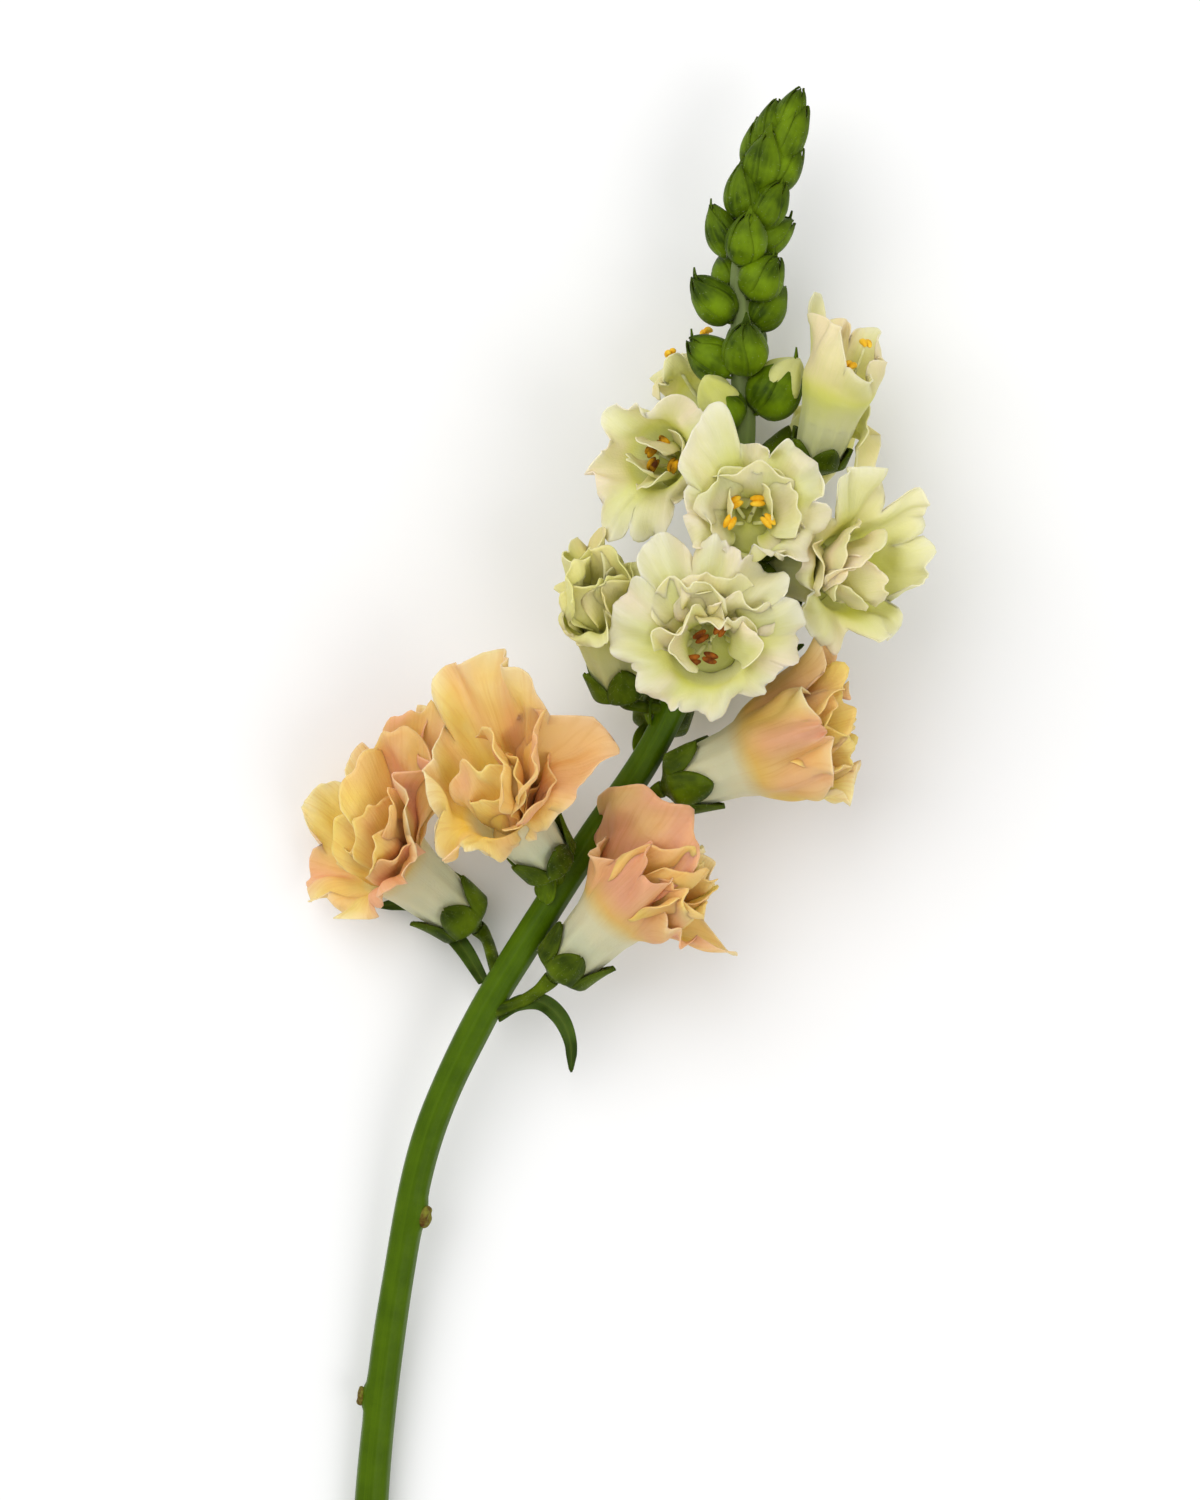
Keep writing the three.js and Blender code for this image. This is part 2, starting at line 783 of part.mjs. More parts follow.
// The frill is the sum of two waves round the whorl: [waves in the whole turn, share].
const FRILLS = [
  [7, 1],
  [12, 0.45],
];
const FRILL_RISE = 1.5; // how steeply the frill grows towards the rim
const OUTER_PHASE = 0.9;
const INNER_PHASE = 1.7;

// A whorl is one sheet round the throat, cut into lobes, and frilled at its rim.
function whorlSurface(bloom, frame, lobes, { forward, radius, start, phase }) {
  return (along, around) => {
    const { length, lean, curl, wave } = whorlShape(lobes, around);
    const [ahead, outward, angle] = bentLine(length, along, start, lean, curl);
    const turn = rad(around);
    const lift = FRILLS.reduce(
      (sum, [waves, share], index) => sum + share * Math.sin(waves * turn + (index + 1) * phase),
      0,
    ) * wave * along ** FRILL_RISE;
    const out = forward + ahead - lift * Math.sin(angle);
    return bloomPoint(frame, out, radius + outward + lift * Math.cos(angle), around);
  };
}

function outerSurface(bloom, frame) {
  return whorlSurface(bloom, frame, bloom.outer, {
    forward: 0,
    radius: bloom.bore * MOUTH_SHARE,
    start: bloom.flare ?? OUTER_START,
    phase: OUTER_PHASE * Number(bloom.name),
  });
}

function innerSurface(bloom, frame) {
  return whorlSurface(bloom, frame, bloom.inner, {
    forward: -THROAT_DEPTH,
    radius: bloom.bore * INNER_SHARE,
    start: INNER_START,
    phase: INNER_PHASE * Number(bloom.name),
  });
}

// Places between two lobes at which the sheet is sampled: at the cleft, beside it, and in
// double blooms with few lobes also at a lobe's middle.
const LOBE_SHARES = [0.3, 0.5, 0.7];
const WIDE_LOBE_SHARES = [0, 0.34, 0.5, 0.66];
const WIDE_LOBES = 5;

function whorlAngles(bloom) {
  const wide = bloom.inner && bloom.outer.length <= WIDE_LOBES;
  const shares = wide ? WIDE_LOBE_SHARES : LOBE_SHARES;
  return bloom.outer.flatMap(([from], index) => {
    const next = bloom.outer[(index + 1) % bloom.outer.length][0];
    const span = turned(next - from);
    return shares.map((share) => from + span * share);
  });
}

// One face of a whorl, as rings from its foot to its rim. The offset is positive outside.
function whorlFace(surface, angles, steps, offset) {
  return steps.map((along) =>
    angles.map((around) => {
      const [ahead, behind] = [Math.min(along + NEAR, 1), Math.max(along - NEAR, 0)];
      const up = surface(ahead, around).sub(surface(behind, around));
      const round = surface(along, around + 1).sub(surface(along, around - 1));
      return surface(along, around).addScaledVector(up.cross(round).normalize(), offset);
    }),
  );
}

const PETAL_STEPS = [0, 0.35, 0.7, 1];
const SHORT_PETAL_STEPS = [0, 0.5, 1];
const INNER_STEPS = [0.5, 1];

// The corolla as one closed skin: up the outside of the tube and the back of the limb, down
// its front into the throat, up and down the inner petals, and over the throat's floor.
function corolla(bloom, frame, extra = 0) {
  const half = BLADE / 2 + extra;
  const angles = whorlAngles(bloom);
  const ringAt = (forward, radius) =>
    angles.map((around) => bloomPoint(frame, forward, radius, around));
  const tubeRings = [TUBE_FOOT, TUBE_THROAT].map((place) =>
    ringAt((place - 1) * bloom.tube, tubeRadius(bloom, place) + extra),
  );
  const steps = bloom.inner ? PETAL_STEPS : SHORT_PETAL_STEPS;
  const outer = outerSurface(bloom, frame);
  const back = whorlFace(outer, angles, steps, half);
  const front = whorlFace(outer, angles, steps, -half).reverse();
  const floor = 1 - THROAT_DEPTH / bloom.tube;
  const wall = tubeRadius(bloom, floor) - TUBE_WALL - extra;
  const rings = [...tubeRings, ...back, ...front];
  if (bloom.inner) {
    const inner = innerSurface(bloom, frame);
    const depth = -THROAT_DEPTH + extra;
    rings.push(ringAt(depth, wall));
    rings.push(...whorlFace(inner, angles, INNER_STEPS, half));
    rings.push(...whorlFace(inner, angles, INNER_STEPS, -half).reverse());
    rings.push(ringAt(depth, bloom.bore * CENTRE_SHARE - extra));
  } else {
    rings.push(ringAt(-THROAT_DEPTH + extra, wall));
  }
  const start = bloomPoint(frame, -bloom.tube - extra, 0, 0);
  return solid(skinOver(start, rings, bloomPoint(frame, -THROAT_DEPTH + extra, 0, 0)));
}

// ---------------------------------------------------------------- calyx and stalk

const SEPAL_LENGTH = 8.6;
const SEPAL_CLEFT = 0.74;
const CALYX_CUP = 2.4; // thickness of the solid cup under the tube
const STALK_RADIUS = 1.05;
const CUP_FLARE = 1.4; // radius of the cup's foot, in stalk radii
const CUP_TIP = 0.3;
const SEPALS = 5;
const SEPAL_STEP = 360 / SEPALS;
const SEPAL_SHARES = [0, 0.28, 0.72];
const SEPAL_OFFSET = CLEARANCE + BLADE * 0.85;
const SEPAL_STAND_OFF = 0.8; // how far the tips stand off the tube

// Five sepals hug the tube at the clearance, with their tips standing off a little.
function sepalSurface(bloom, frame) {
  const foot = TUBE_FOOT * bloom.tube;
  return (along, around) => {
    const place = (turned(around) % SEPAL_STEP) / SEPAL_STEP;
    const beside = Math.abs(place - 0.5) * 2;
    const reach = SEPAL_LENGTH * (1 - SEPAL_CLEFT * beside ** 4);
    const forward = foot + along * (reach - foot);
    const tube = tubeRadius(bloom, forward / bloom.tube);
    const radius = tube + SEPAL_OFFSET + SEPAL_STAND_OFF * along ** 3;
    return bloomPoint(frame, forward - bloom.tube, radius, around);
  };
}

// The calyx as one closed skin: the cup, the outside of the sepals and their inside.
function calyxSkin(bloom, frame) {
  const angles = [];
  for (let sepal = 0; sepal < SEPALS; sepal += 1) {
    angles.push(...SEPAL_SHARES.map((share) => SEPAL_STEP * (sepal + share)));
  }
  const surface = sepalSurface(bloom, frame);
  const foot = -bloom.tube - CLEARANCE;
  const rings = [
    angles.map((around) => bloomPoint(frame, foot - CALYX_CUP, STALK_RADIUS * CUP_FLARE, around)),
    ...whorlFace(surface, angles, [0, 1], BLADE / 2),
    ...whorlFace(surface, angles, [1, 0], -BLADE / 2),
  ];
  const start = bloomPoint(frame, foot - CALYX_CUP - CUP_TIP, 0, 0);
  return solid(skinOver(start, rings, bloomPoint(frame, foot, 0, 0)));
}

// The stalk's rings: [place along it, radius in stalk radii].
const STALK_RINGS = [
  [0.12, 1.7],
  [0.5, 1.15],
  [1, 1],
];
const STALK_SIDES = 4;
const STALK_INTO_CUP = 0.4; // share of the cup's thickness that the stalk reaches in
const STALK_OUT = 0.35; // pull of the stalk away from the stem, as a share of its length
const STALK_UP = 0.15;
const STALK_END = 0.3;

// The stalk bends from the stem into the cup.
function stalk(bloom, frame) {
  const { centre, direction, out } = stemFrame(...bloom.stalk);
  const depth = -bloom.tube - CLEARANCE - CALYX_CUP * STALK_INTO_CUP;
  const end = bloomPoint(frame, depth, 0, 0);
  const reach = centre.distanceTo(end);
  const first = centre.clone().addScaledVector(out, reach * STALK_OUT);
  first.addScaledVector(direction, reach * STALK_UP);
  const second = end.clone().addScaledVector(frame.out, -reach * STALK_END);
  const curve = new THREE.CubicBezierCurve3(centre, first, second, end);
  const rings = STALK_RINGS.map(([place, swelling]) => {
    const radius = STALK_RADIUS * swelling;
    return ringAround(curve.getPoint(place), curve.getTangent(place), radius, STALK_SIDES);
  });
  return solid(skinOver(centre.clone(), rings, end.clone()));
}

function calyx(bloom, frame) {
  return joined([calyxSkin(bloom, frame), stalk(bloom, frame)]);
}

// ---------------------------------------------------------------- stamens

// Anthers in a throat: [sideways, up towards the lip, forward from the mouth].
const ANTHERS = [
  [-2.6, 2.4, -1],
  [1.8, 2.6, -0.6],
  [-3.2, -1.4, 0],
  [3, -1.4, 0],
];
const FILAMENT_RADIUS = 0.42;
const FILAMENT_FOOT = 0.3; // share of the anther's place at which its filament starts
const FILAMENT_NECK = 0.9;
const FILAMENT_ROOT = -THROAT_DEPTH + 0.8;
const ANTHER_LENGTH = 3.2;
const ANTHER_HALF_WIDTH = 1.1;
const ANTHER_TIP = 1.3;
const ANTHER_BACK = 0.6;
const DISC_RADIUS = 1.7;
const DISC_HEIGHT = 0.9;
const STYLE_RADIUS = 0.45;
const STYLE_TIP = [0.2, 0.6, 0];
const END_TAPER = 0.05;

function throatPoint(frame, [sideways, up, forward]) {
  const point = frame.mouth.clone().addScaledVector(frame.side, sideways);
  return point.addScaledVector(frame.up, up).addScaledVector(frame.out, forward);
}

function rod(from, to, radius, sides, extra) {
  const along = to.clone().sub(from).normalize();
  const rings = [from, to].map((end) => ringAround(end, along, radius + extra, sides));
  const start = from.clone().addScaledVector(along, -extra - END_TAPER);
  return solid(skinOver(start, rings, to.clone().addScaledVector(along, extra + END_TAPER)));
}

// Four points round a place in the throat.
function throatRing(frame, centre, wide, deep) {
  return [
    centre.clone().addScaledVector(frame.side, wide),
    centre.clone().addScaledVector(frame.up, deep),
    centre.clone().addScaledVector(frame.side, -wide),
    centre.clone().addScaledVector(frame.up, -deep),
  ];
}

// A filament that widens into its anther, which lies across it.
function stamen(frame, [sideways, up, forward], extra) {
  const foot = throatPoint(frame, [sideways * FILAMENT_FOOT, up * FILAMENT_FOOT, FILAMENT_ROOT]);
  const back = forward - ANTHER_BACK;
  const neck = throatPoint(frame, [sideways * FILAMENT_NECK, up * FILAMENT_NECK, back]);
  const head = throatPoint(frame, [sideways, up, forward + ANTHER_BACK]);
  const along = head.clone().sub(foot).normalize();
  const thin = FILAMENT_RADIUS + extra;
  const rings = [
    throatRing(frame, foot, thin, thin),
    throatRing(frame, neck, thin, thin),
    throatRing(frame, head, ANTHER_LENGTH / 2 + extra, ANTHER_HALF_WIDTH + extra),
  ];
  const start = foot.clone().addScaledVector(along, -extra - END_TAPER);
  return solid(skinOver(start, rings, head.clone().addScaledVector(along, ANTHER_TIP + extra)));
}

// Four filaments with their anthers, and the style, on one small disc in the throat.
function stamens(bloom, frame, extra = 0) {
  const floor = -THROAT_DEPTH + CLEARANCE;
  const root = throatPoint(frame, [0, 0, floor]);
  const top = throatPoint(frame, [0, 0, floor + DISC_HEIGHT]);
  const disc = rod(root, top, DISC_RADIUS, 6, extra);
  const style = rod(root, throatPoint(frame, STYLE_TIP), STYLE_RADIUS, 4, extra);
  return joined([disc, style, ...ANTHERS.map((place) => stamen(frame, place, extra))]);
}

// ---------------------------------------------------------------- leaf

// The middle lines of the narrow leaves left on the stem, and their widths.
const LEAVES = [
  {
    line: [
      [-20.6, -53.8, 16.6],
      [-16.6, -51, 18.2],
      [-12, -50.6, 18.6],
      [-8.2, -53.6, 17.6],
      [-6, -58.6, 15.6],
      [-5.8, -65, 13],
    ],
    width: 3.4,
  },
  {
    line: [
      [-23.4, -46.8, 14.6],
      [-29, -42.6, 8.6],
      [-37, -37, 4.2],
      [-45.8, -31.2, 2.6],
    ],
    width: 3.6,
  },
  {
    line: [
      [19.6, 12.6, 20.2],
      [26, 13.8, 17],
      [33, 17, 15.8],
      [41, 21.2, 17],
    ],
    width: 3.2,
  },
];
const LEAF_CELLS = [2, 6];
const LEAF_FOLD = 0.3; // how far the edges stand up over the midrib
const LEAF_TILT = new THREE.Vector3(0, 0.25, 1);

// Half the width of a leaf along its length, widest past the middle of its foot.
function leafHalf(along, width) {
  return (width / 2) * (0.35 + 0.65 * Math.sin(Math.PI * (0.12 + 0.85 * along)));
}

function leaf({ line, width }) {
  const curve = new THREE.CatmullRomCurve3(line.map((at) => new THREE.Vector3(...at)));
  const surface = (along, across) => {
    const direction = curve.getTangent(along);
    const side = direction.clone().cross(LEAF_TILT).normalize();
    const up = side.clone().cross(direction);
    const half = leafHalf(along, width);
    const point = curve.getPoint(along).addScaledVector(side, across * half);
    return point.addScaledVector(up, Math.abs(across) * half * LEAF_FOLD);
  };
  return solid(bladeOver(surface, LEAF_CELLS));
}

// ---------------------------------------------------------------- assembly

const COLOURS = {
  stem: { color: 0x4f7a1c, roughness: 0.5, metalness: 0 },
  leaf: { color: 0x35521c, roughness: 0.6, metalness: 0 },
  calyx: { color: 0x3f5f12, roughness: 0.6, metalness: 0 },
  cream: { color: 0xe6e2b8, roughness: 0.55, metalness: 0 },
  peach: { color: 0xe9b877, roughness: 0.55, metalness: 0 },
  stamens: { color: 0xe0a024, roughness: 0.7, metalness: 0 },
};
const PEACH_BLOOMS = ['08', '09', '10', '11'];
// The order in which the corollas take their room where neighbours would touch.
const CUTTING_ORDER = ['05', '04', '07', '09', '02', '10', '11', '08', '06', '01', '12', '03', '13'];

const whole = new THREE.Group();
const rooms = [];

function boxesMeet(a, b) {
  return [0, 1, 2].every((axis) => a.min[axis] <= b.max[axis] && b.min[axis] <= a.max[axis]);
}

// Adds a piece, cut back from the room of what is already there.
function place(name, colour, manifold, room, owner = '') {
  const box = manifold.boundingBox();
  let piece = manifold;
  for (const other of rooms) {
    const own = owner !== '' && other.owner === owner;
    if (!own && boxesMeet(box, other.box)) piece = piece.subtract(other.room);
  }
  const mesh = new THREE.Mesh(largestBody(piece), new THREE.MeshStandardMaterial(COLOURS[colour]));
  mesh.name = name;
  whole.add(mesh);
  rooms.push({ room, box: room.boundingBox(), owner });
}

// The bract under a bud follows the bud's own row.
function budBract([y, turn, length, width, lean]) {
  return bract([y - 1.2, turn, length * 0.85, width * 0.42, lean + 14]);
}

const BRACTED_SPIRE = [70, 105]; // the stretch of the stem whose buds show their bracts
const budSolids = BUDS.map(bud);
const budBracts = BUDS.filter(([y]) => y > BRACTED_SPIRE[0] && y < BRACTED_SPIRE[1]).map(budBract);
const bracts = BRACTS.map((row) => bract(row));
const scars = LEAF_SCARS.map(leafScar);
const greenStem = joined([stemTube(), ...scars, ...budSolids, ...budBracts, ...bracts]);
const stemRoom = joined([
  stemTube(CLEARANCE),
  ...BRACTS.map((row) => bract(row, BLADE + 2 * CLEARANCE)),
  ...BUDS.map(([y, turn, length, width, lean]) =>
    bud([y, turn, length + 2 * CLEARANCE, width + 2 * CLEARANCE, lean]),
  ),
]);
place('stem', 'stem', greenStem, stemRoom);
LEAVES.forEach((row, index) => {
  place(`leaf_${index + 1}`, 'leaf', leaf(row), leaf(row));
});

const blooms = BLOOMS.map((bloom) => ({ bloom, frame: bloomFrame(bloom) }));
for (const { bloom, frame } of blooms) {
  const solidCalyx = calyx(bloom, frame);
  place(`calyx_${bloom.name}`, 'calyx', solidCalyx, solidCalyx, bloom.name);
}
for (const { bloom, frame } of blooms) {
  if (bloom.stamens) {
    const room = stamens(bloom, frame, CLEARANCE);
    place(`stamens_${bloom.name}`, 'stamens', stamens(bloom, frame), room);
  }
}
for (const name of CUTTING_ORDER) {
  const { bloom, frame } = blooms.find((entry) => entry.bloom.name === name);
  const colour = PEACH_BLOOMS.includes(name) ? 'peach' : 'cream';
  const room = corolla(bloom, frame, CLEARANCE);
  place(`corolla_${name}`, colour, corolla(bloom, frame), room, name);
}

whole.position.copy(CENTRE).negate();

export default whole;
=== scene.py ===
# %% [markdown]
# # A double snapdragon stem
#
# A cut stem of an azalea-flowered snapdragon lies on a pale table. Green buds crowd the tip,
# cream blooms sit below them and peach blooms lowest, where the plant flowered first. The
# solids of the frame give every bloom its place. Here each of them gets its petals, sepals,
# hairs, veins and colours.

# %% Load the frame
import math
import random

import bpy
import numpy as np
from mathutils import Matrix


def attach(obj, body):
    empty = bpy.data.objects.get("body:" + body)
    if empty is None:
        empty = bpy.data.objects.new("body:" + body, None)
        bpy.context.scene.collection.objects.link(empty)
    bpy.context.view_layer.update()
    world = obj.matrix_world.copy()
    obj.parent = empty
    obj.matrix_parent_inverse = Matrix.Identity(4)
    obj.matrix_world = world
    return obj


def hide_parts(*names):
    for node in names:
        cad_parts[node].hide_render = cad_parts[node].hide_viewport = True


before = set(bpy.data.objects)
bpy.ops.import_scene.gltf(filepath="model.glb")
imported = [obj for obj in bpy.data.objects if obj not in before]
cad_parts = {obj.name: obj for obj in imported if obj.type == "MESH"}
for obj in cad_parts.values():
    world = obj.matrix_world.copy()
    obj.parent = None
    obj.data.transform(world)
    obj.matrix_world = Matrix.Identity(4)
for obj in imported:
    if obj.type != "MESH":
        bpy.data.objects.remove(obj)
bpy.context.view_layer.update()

print("nodes in the frame:", len(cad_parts))

# %% [markdown]
# Everything below is worked out in millimetres, in the plane of the table with y running
# along the stem. One small function turns such points into the frame's metres, so the pieces
# land where the solids are.

# %% Lengths and directions
MM = 0.001
CENTRE = np.array([2.3, -25.3, 0.0])  # middle of the whole stem, where the frame's origin is
UP = np.array([0.0, 0.0, 1.0])
PETAL = 0.24  # thickness of a petal
SEPAL = 0.34
TABLE_REACH = 3.0  # what lies lower than this bends along the table
TABLE_SKIN = 0.3  # lowest place for the middle of a petal


def to_frame(points):
    return (np.asarray(points) - CENTRE) * MM


def unit(vector):
    vector = np.asarray(vector, float)
    return vector / np.linalg.norm(vector, axis=-1, keepdims=True)


def pointing(compass, above):
    """Direction from a compass angle in the table's plane and an angle above it."""
    turn, rise = math.radians(compass), math.radians(above)
    return np.array([math.cos(rise) * math.cos(turn), math.cos(rise) * math.sin(turn), math.sin(rise)])


def turned(first, second, angle):
    """The direction at an angle, in radians, from the first towards the second."""
    angle = np.asarray(angle)[..., None]
    return first * np.cos(angle) + second * np.sin(angle)


def beside(direction, up=UP):
    """Two directions square to the given one: the one above it, and the one to its right."""
    side = unit(np.cross(direction, up))
    return np.cross(side, direction), side


def lay_on_table(points):
    """Bends whatever would sink into the table so that it lies along it."""
    room = TABLE_REACH - TABLE_SKIN
    low = TABLE_SKIN + room * np.exp((np.minimum(points[:, 2], TABLE_REACH) - TABLE_REACH) / room)
    points[:, 2] = np.where(points[:, 2] < TABLE_REACH, low, points[:, 2])
    return points


def ease(value):
    """Smooth step from 0 to 1."""
    value = np.clip(value, 0, 1)
    return value * value * (3 - 2 * value)

# %% [markdown]
# Petals, sepals and leaves are all thin sheets. A grid primitive is the natural start for a
# sheet: it brings rows, columns and a clean UV map. One grid of each size is added once, and
# every sheet is a copy of it whose corners are moved to a formula of two numbers: across, from
# -1 to 1, and along, from 0 at the foot to 1 at the rim. That gives frills which no operator
# would draw, and the UV map stays straight, so veins can follow it.

# %% Sheets from grids
grids = {}


def select(*pieces):
    bpy.ops.object.select_all(action="DESELECT")
    for piece in pieces:
        piece.select_set(True)
        bpy.context.view_layer.objects.active = pieces[0]


def linked(name, data):
    made = bpy.data.objects.new(name, data)
    bpy.context.collection.objects.link(made)
    return made


def corners_of(mesh):
    corners = np.empty(len(mesh.vertices) * 3)
    mesh.vertices.foreach_get("co", corners)
    return corners.reshape(-1, 3)


def move_corners(mesh, points):
    mesh.vertices.foreach_set("co", to_frame(points).ravel())


def grid_of(columns, rows):
    if (columns, rows) not in grids:
        select()
        bpy.ops.mesh.primitive_grid_add(x_subdivisions=columns, y_subdivisions=rows, size=2)
        pattern = bpy.context.object
        grids[columns, rows] = pattern.data
        bpy.data.objects.remove(pattern)
    return grids[columns, rows]


def sheet(name, columns, rows, place, marks=None):
    """A copy of a grid, shaped by place(across, along); marks are its per-corner values."""
    mesh = grid_of(columns, rows).copy()
    corners = corners_of(mesh)
    across, along = corners[:, 0], (corners[:, 1] + 1) / 2
    move_corners(mesh, lay_on_table(place(across, along)))
    for mark, values in (marks(across, along) if marks else {}).items():
        layer = mesh.attributes.new(mark, "FLOAT", "POINT")
        layer.data.foreach_set("value", np.broadcast_to(values, across.shape).astype(float))
    return linked(name, mesh)


def ball(segments, rings):
    """A sphere with a radius of 1, and its corners, for a maker that moves them."""
    select()
    bpy.ops.mesh.primitive_uv_sphere_add(segments=segments, ring_count=rings, radius=1)
    return bpy.context.object, corners_of(bpy.context.object.data)


def fuse(name, pieces):
    """Joins sheets into one object."""
    select(*pieces)
    if len(pieces) > 1:
        bpy.ops.object.join()
    pieces[0].name = pieces[0].data.name = name
    return pieces[0]


def weld(piece, reach=0.004):
    """Merges corners that lie on each other, such as the seam of a rolled sheet."""
    select(piece)
    bpy.ops.object.mode_set(mode="EDIT")
    bpy.ops.mesh.select_all(action="SELECT")
    bpy.ops.mesh.remove_doubles(threshold=reach * MM)
    bpy.ops.object.mode_set(mode="OBJECT")


def settle(piece, finish, slot, *nodes):
    """Gives a piece its material and its body, and hides the frame's nodes that it stands for."""
    piece.data.materials.clear()
    piece.data.materials.append(finish)
    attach(piece, "root")
    if nodes:
        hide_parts(*nodes)
    print(piece.name, len(piece.data.polygons), "faces")


def complete(piece, thickness, finish, slot, *nodes):
    """Thickens a piece where it is a sheet, shades it smooth, and settles it."""
    select(piece)
    if thickness:
        bpy.ops.object.modifier_add(type="SOLIDIFY")
        skin = piece.modifiers[-1]
        skin.thickness = thickness * MM
        skin.offset = 0
        bpy.ops.object.modifier_apply(modifier=skin.name)
    bpy.ops.object.shade_smooth()
    settle(piece, finish, slot, *nodes)

# %% [markdown]
# Living surfaces are never quite regular. A crumple is a sum of a few waves in random
# directions. It is smooth, it has no seams, and a seed makes it the same in every run.

# %% Crumples
def crumple(points, seed, size=6.0, waves=5):
    """Smooth irregular value, about -1 to 1, over points in millimetres."""
    draw = random.Random(seed)
    total = np.zeros(len(points))
    for _ in range(waves):
        direction = unit([draw.gauss(0, 1) for _ in range(3)])
        length = size * draw.uniform(0.7, 1.5)
        total += np.sin(points @ direction * (2 * math.pi / length) + draw.uniform(0, 2 * math.pi))
    return total / math.sqrt(waves * 2)

# %% [markdown]
# ## Finishes
#
# Colours are given as they look on a screen and turned into the linear values that shaders
# take. Petals and sepals let some light through, so their shaders carry a little subsurface.

# %% Helpers for materials
RELIEF = 0.4  # strength of every bump


def screen(red, green, blue):
    values = [channel / 255 for channel in (red, green, blue)]
    linear = [v / 12.92 if v <= 0.04045 else ((v + 0.055) / 1.055) ** 2.4 for v in values]
    return (*linear, 1.0)


def add(tree, kind, inputs=None, **settings):
    """Adds a node; an input is a value or another node's output."""
    node = tree.nodes.new(kind)
    for key, value in settings.items():
        setattr(node, key, value)
    for key, value in (inputs or {}).items():
        if isinstance(value, bpy.types.NodeSocket):
            tree.links.new(value, node.inputs[key])
        else:
            node.inputs[key].default_value = value
    return node


def new_finish(name, roughness, subsurface=0.0, radius=(0.002, 0.0015, 0.0008), sheen=0.0, shine=0.16):
    made = bpy.data.materials.new(name)
    made.use_nodes = True
    shader = made.node_tree.nodes["Principled BSDF"]
    shader.inputs["Roughness"].default_value = roughness
    shader.inputs["Specular IOR Level"].default_value = shine
    shader.inputs["Subsurface Weight"].default_value = subsurface
    shader.inputs["Subsurface Radius"].default_value = radius
    shader.inputs["Subsurface Scale"].default_value = 1.0
    shader.inputs["Sheen Weight"].default_value = sheen
    return made, made.node_tree, shader


def dress(tree, shader, colour, relief, height):
    """Links the base colour and a relief, whose height is in millimetres, to the shader."""
    tree.links.new(colour, shader.inputs["Base Color"])
    inputs = {"Height": relief, "Strength": RELIEF, "Distance": height * MM}
    tree.links.new(add(tree, "ShaderNodeBump", inputs).outputs["Normal"], shader.inputs["Normal"])


def mark_value(tree, mark):
    return add(tree, "ShaderNodeAttribute", attribute_name=mark).outputs["Fac"]


def mixed(tree, factor, first, second, blend="MIX"):
    inputs = {0: factor, 6: first, 7: second}
    return add(tree, "ShaderNodeMix", inputs, data_type="RGBA", blend_type=blend).outputs[2]


def combined(tree, operation, first, second):
    return add(tree, "ShaderNodeMath", {0: first, 1: second}, operation=operation).outputs[0]


def ramp(tree, factor, stops):
    """Colour ramp; stops are (place, colour)."""
    node = add(tree, "ShaderNodeValToRGB", {"Fac": factor})
    elements = node.color_ramp.elements
    while len(elements) < len(stops):
        elements.new(0.5)
    for element, (place, colour) in zip(elements, stops):
        element.position, element.color = place, colour
    return node.outputs["Color"]


def spread(tree, value, low, high, new_low=0.0, new_high=1.0):
    inputs = {"Value": value, "From Min": low, "From Max": high, "To Min": new_low, "To Max": new_high}
    return add(tree, "ShaderNodeMapRange", inputs).outputs["Result"]


def noise(tree, scale, detail=3.0, distortion=0.0, stretch=None):
    """Noise over Object coordinates, or over the UV map, stretched to run along a sheet."""
    if stretch is None:
        vector = add(tree, "ShaderNodeTexCoord").outputs["Object"]
    else:
        straight = add(tree, "ShaderNodeUVMap").outputs["UV"]
        vector = add(tree, "ShaderNodeMapping", {"Vector": straight, "Scale": stretch}).outputs["Vector"]
    inputs = {"Vector": vector, "Scale": scale, "Detail": detail, "Distortion": distortion}
    return add(tree, "ShaderNodeTexNoise", inputs).outputs["Fac"]

# %% [markdown]
# A petal changes colour from the foot of the tube, over the mouth, to its rim, so its base
# colour is a ramp over a mark that each corner carries. A second mark holds the blush, and a
# third the green of a young petal. Fine veins run from foot to rim: a noise stretched along
# the UV map, for colour and for relief.

# %% Petals
FRESH = screen(240, 238, 168)  # young petals are still greenish


def petal_finish(name, tones, blush, vein_colour, vein_share):
    made, tree, shader = new_finish(name, 0.5, subsurface=0.5, radius=(0.0022, 0.0022, 0.0012), sheen=0.04)
    place = spread(tree, mark_value(tree, "depth"), -1, 1)
    tone = ramp(tree, place, tones)
    patches = spread(tree, noise(tree, 120, 2.0), 0.35, 0.75, 0, 0.35)
    tone = mixed(tree, patches, tone, tones[-1][1])
    tone = mixed(tree, mark_value(tree, "blush"), tone, blush)
    tone = mixed(tree, mark_value(tree, "fresh"), tone, FRESH, "MULTIPLY")
    veins = noise(tree, 1.0, 2.0, 0.4, stretch=(34, 2.4, 1))
    beyond_tube = spread(tree, place, 0.42, 0.62, 0.1 * vein_share, vein_share)
    shade = combined(tree, "MULTIPLY", spread(tree, veins, 0.5, 0.72), beyond_tube)
    relief = combined(tree, "ADD", veins, noise(tree, 1800, 2.0))
    relief = combined(tree, "ADD", relief, noise(tree, 420, 4.0, 0.6))
    dress(tree, shader, mixed(tree, shade, tone, vein_colour), relief, 0.16)
    return made


def colour_stops(*stops):
    return [(place, screen(*colour)) for place, *colour in stops]


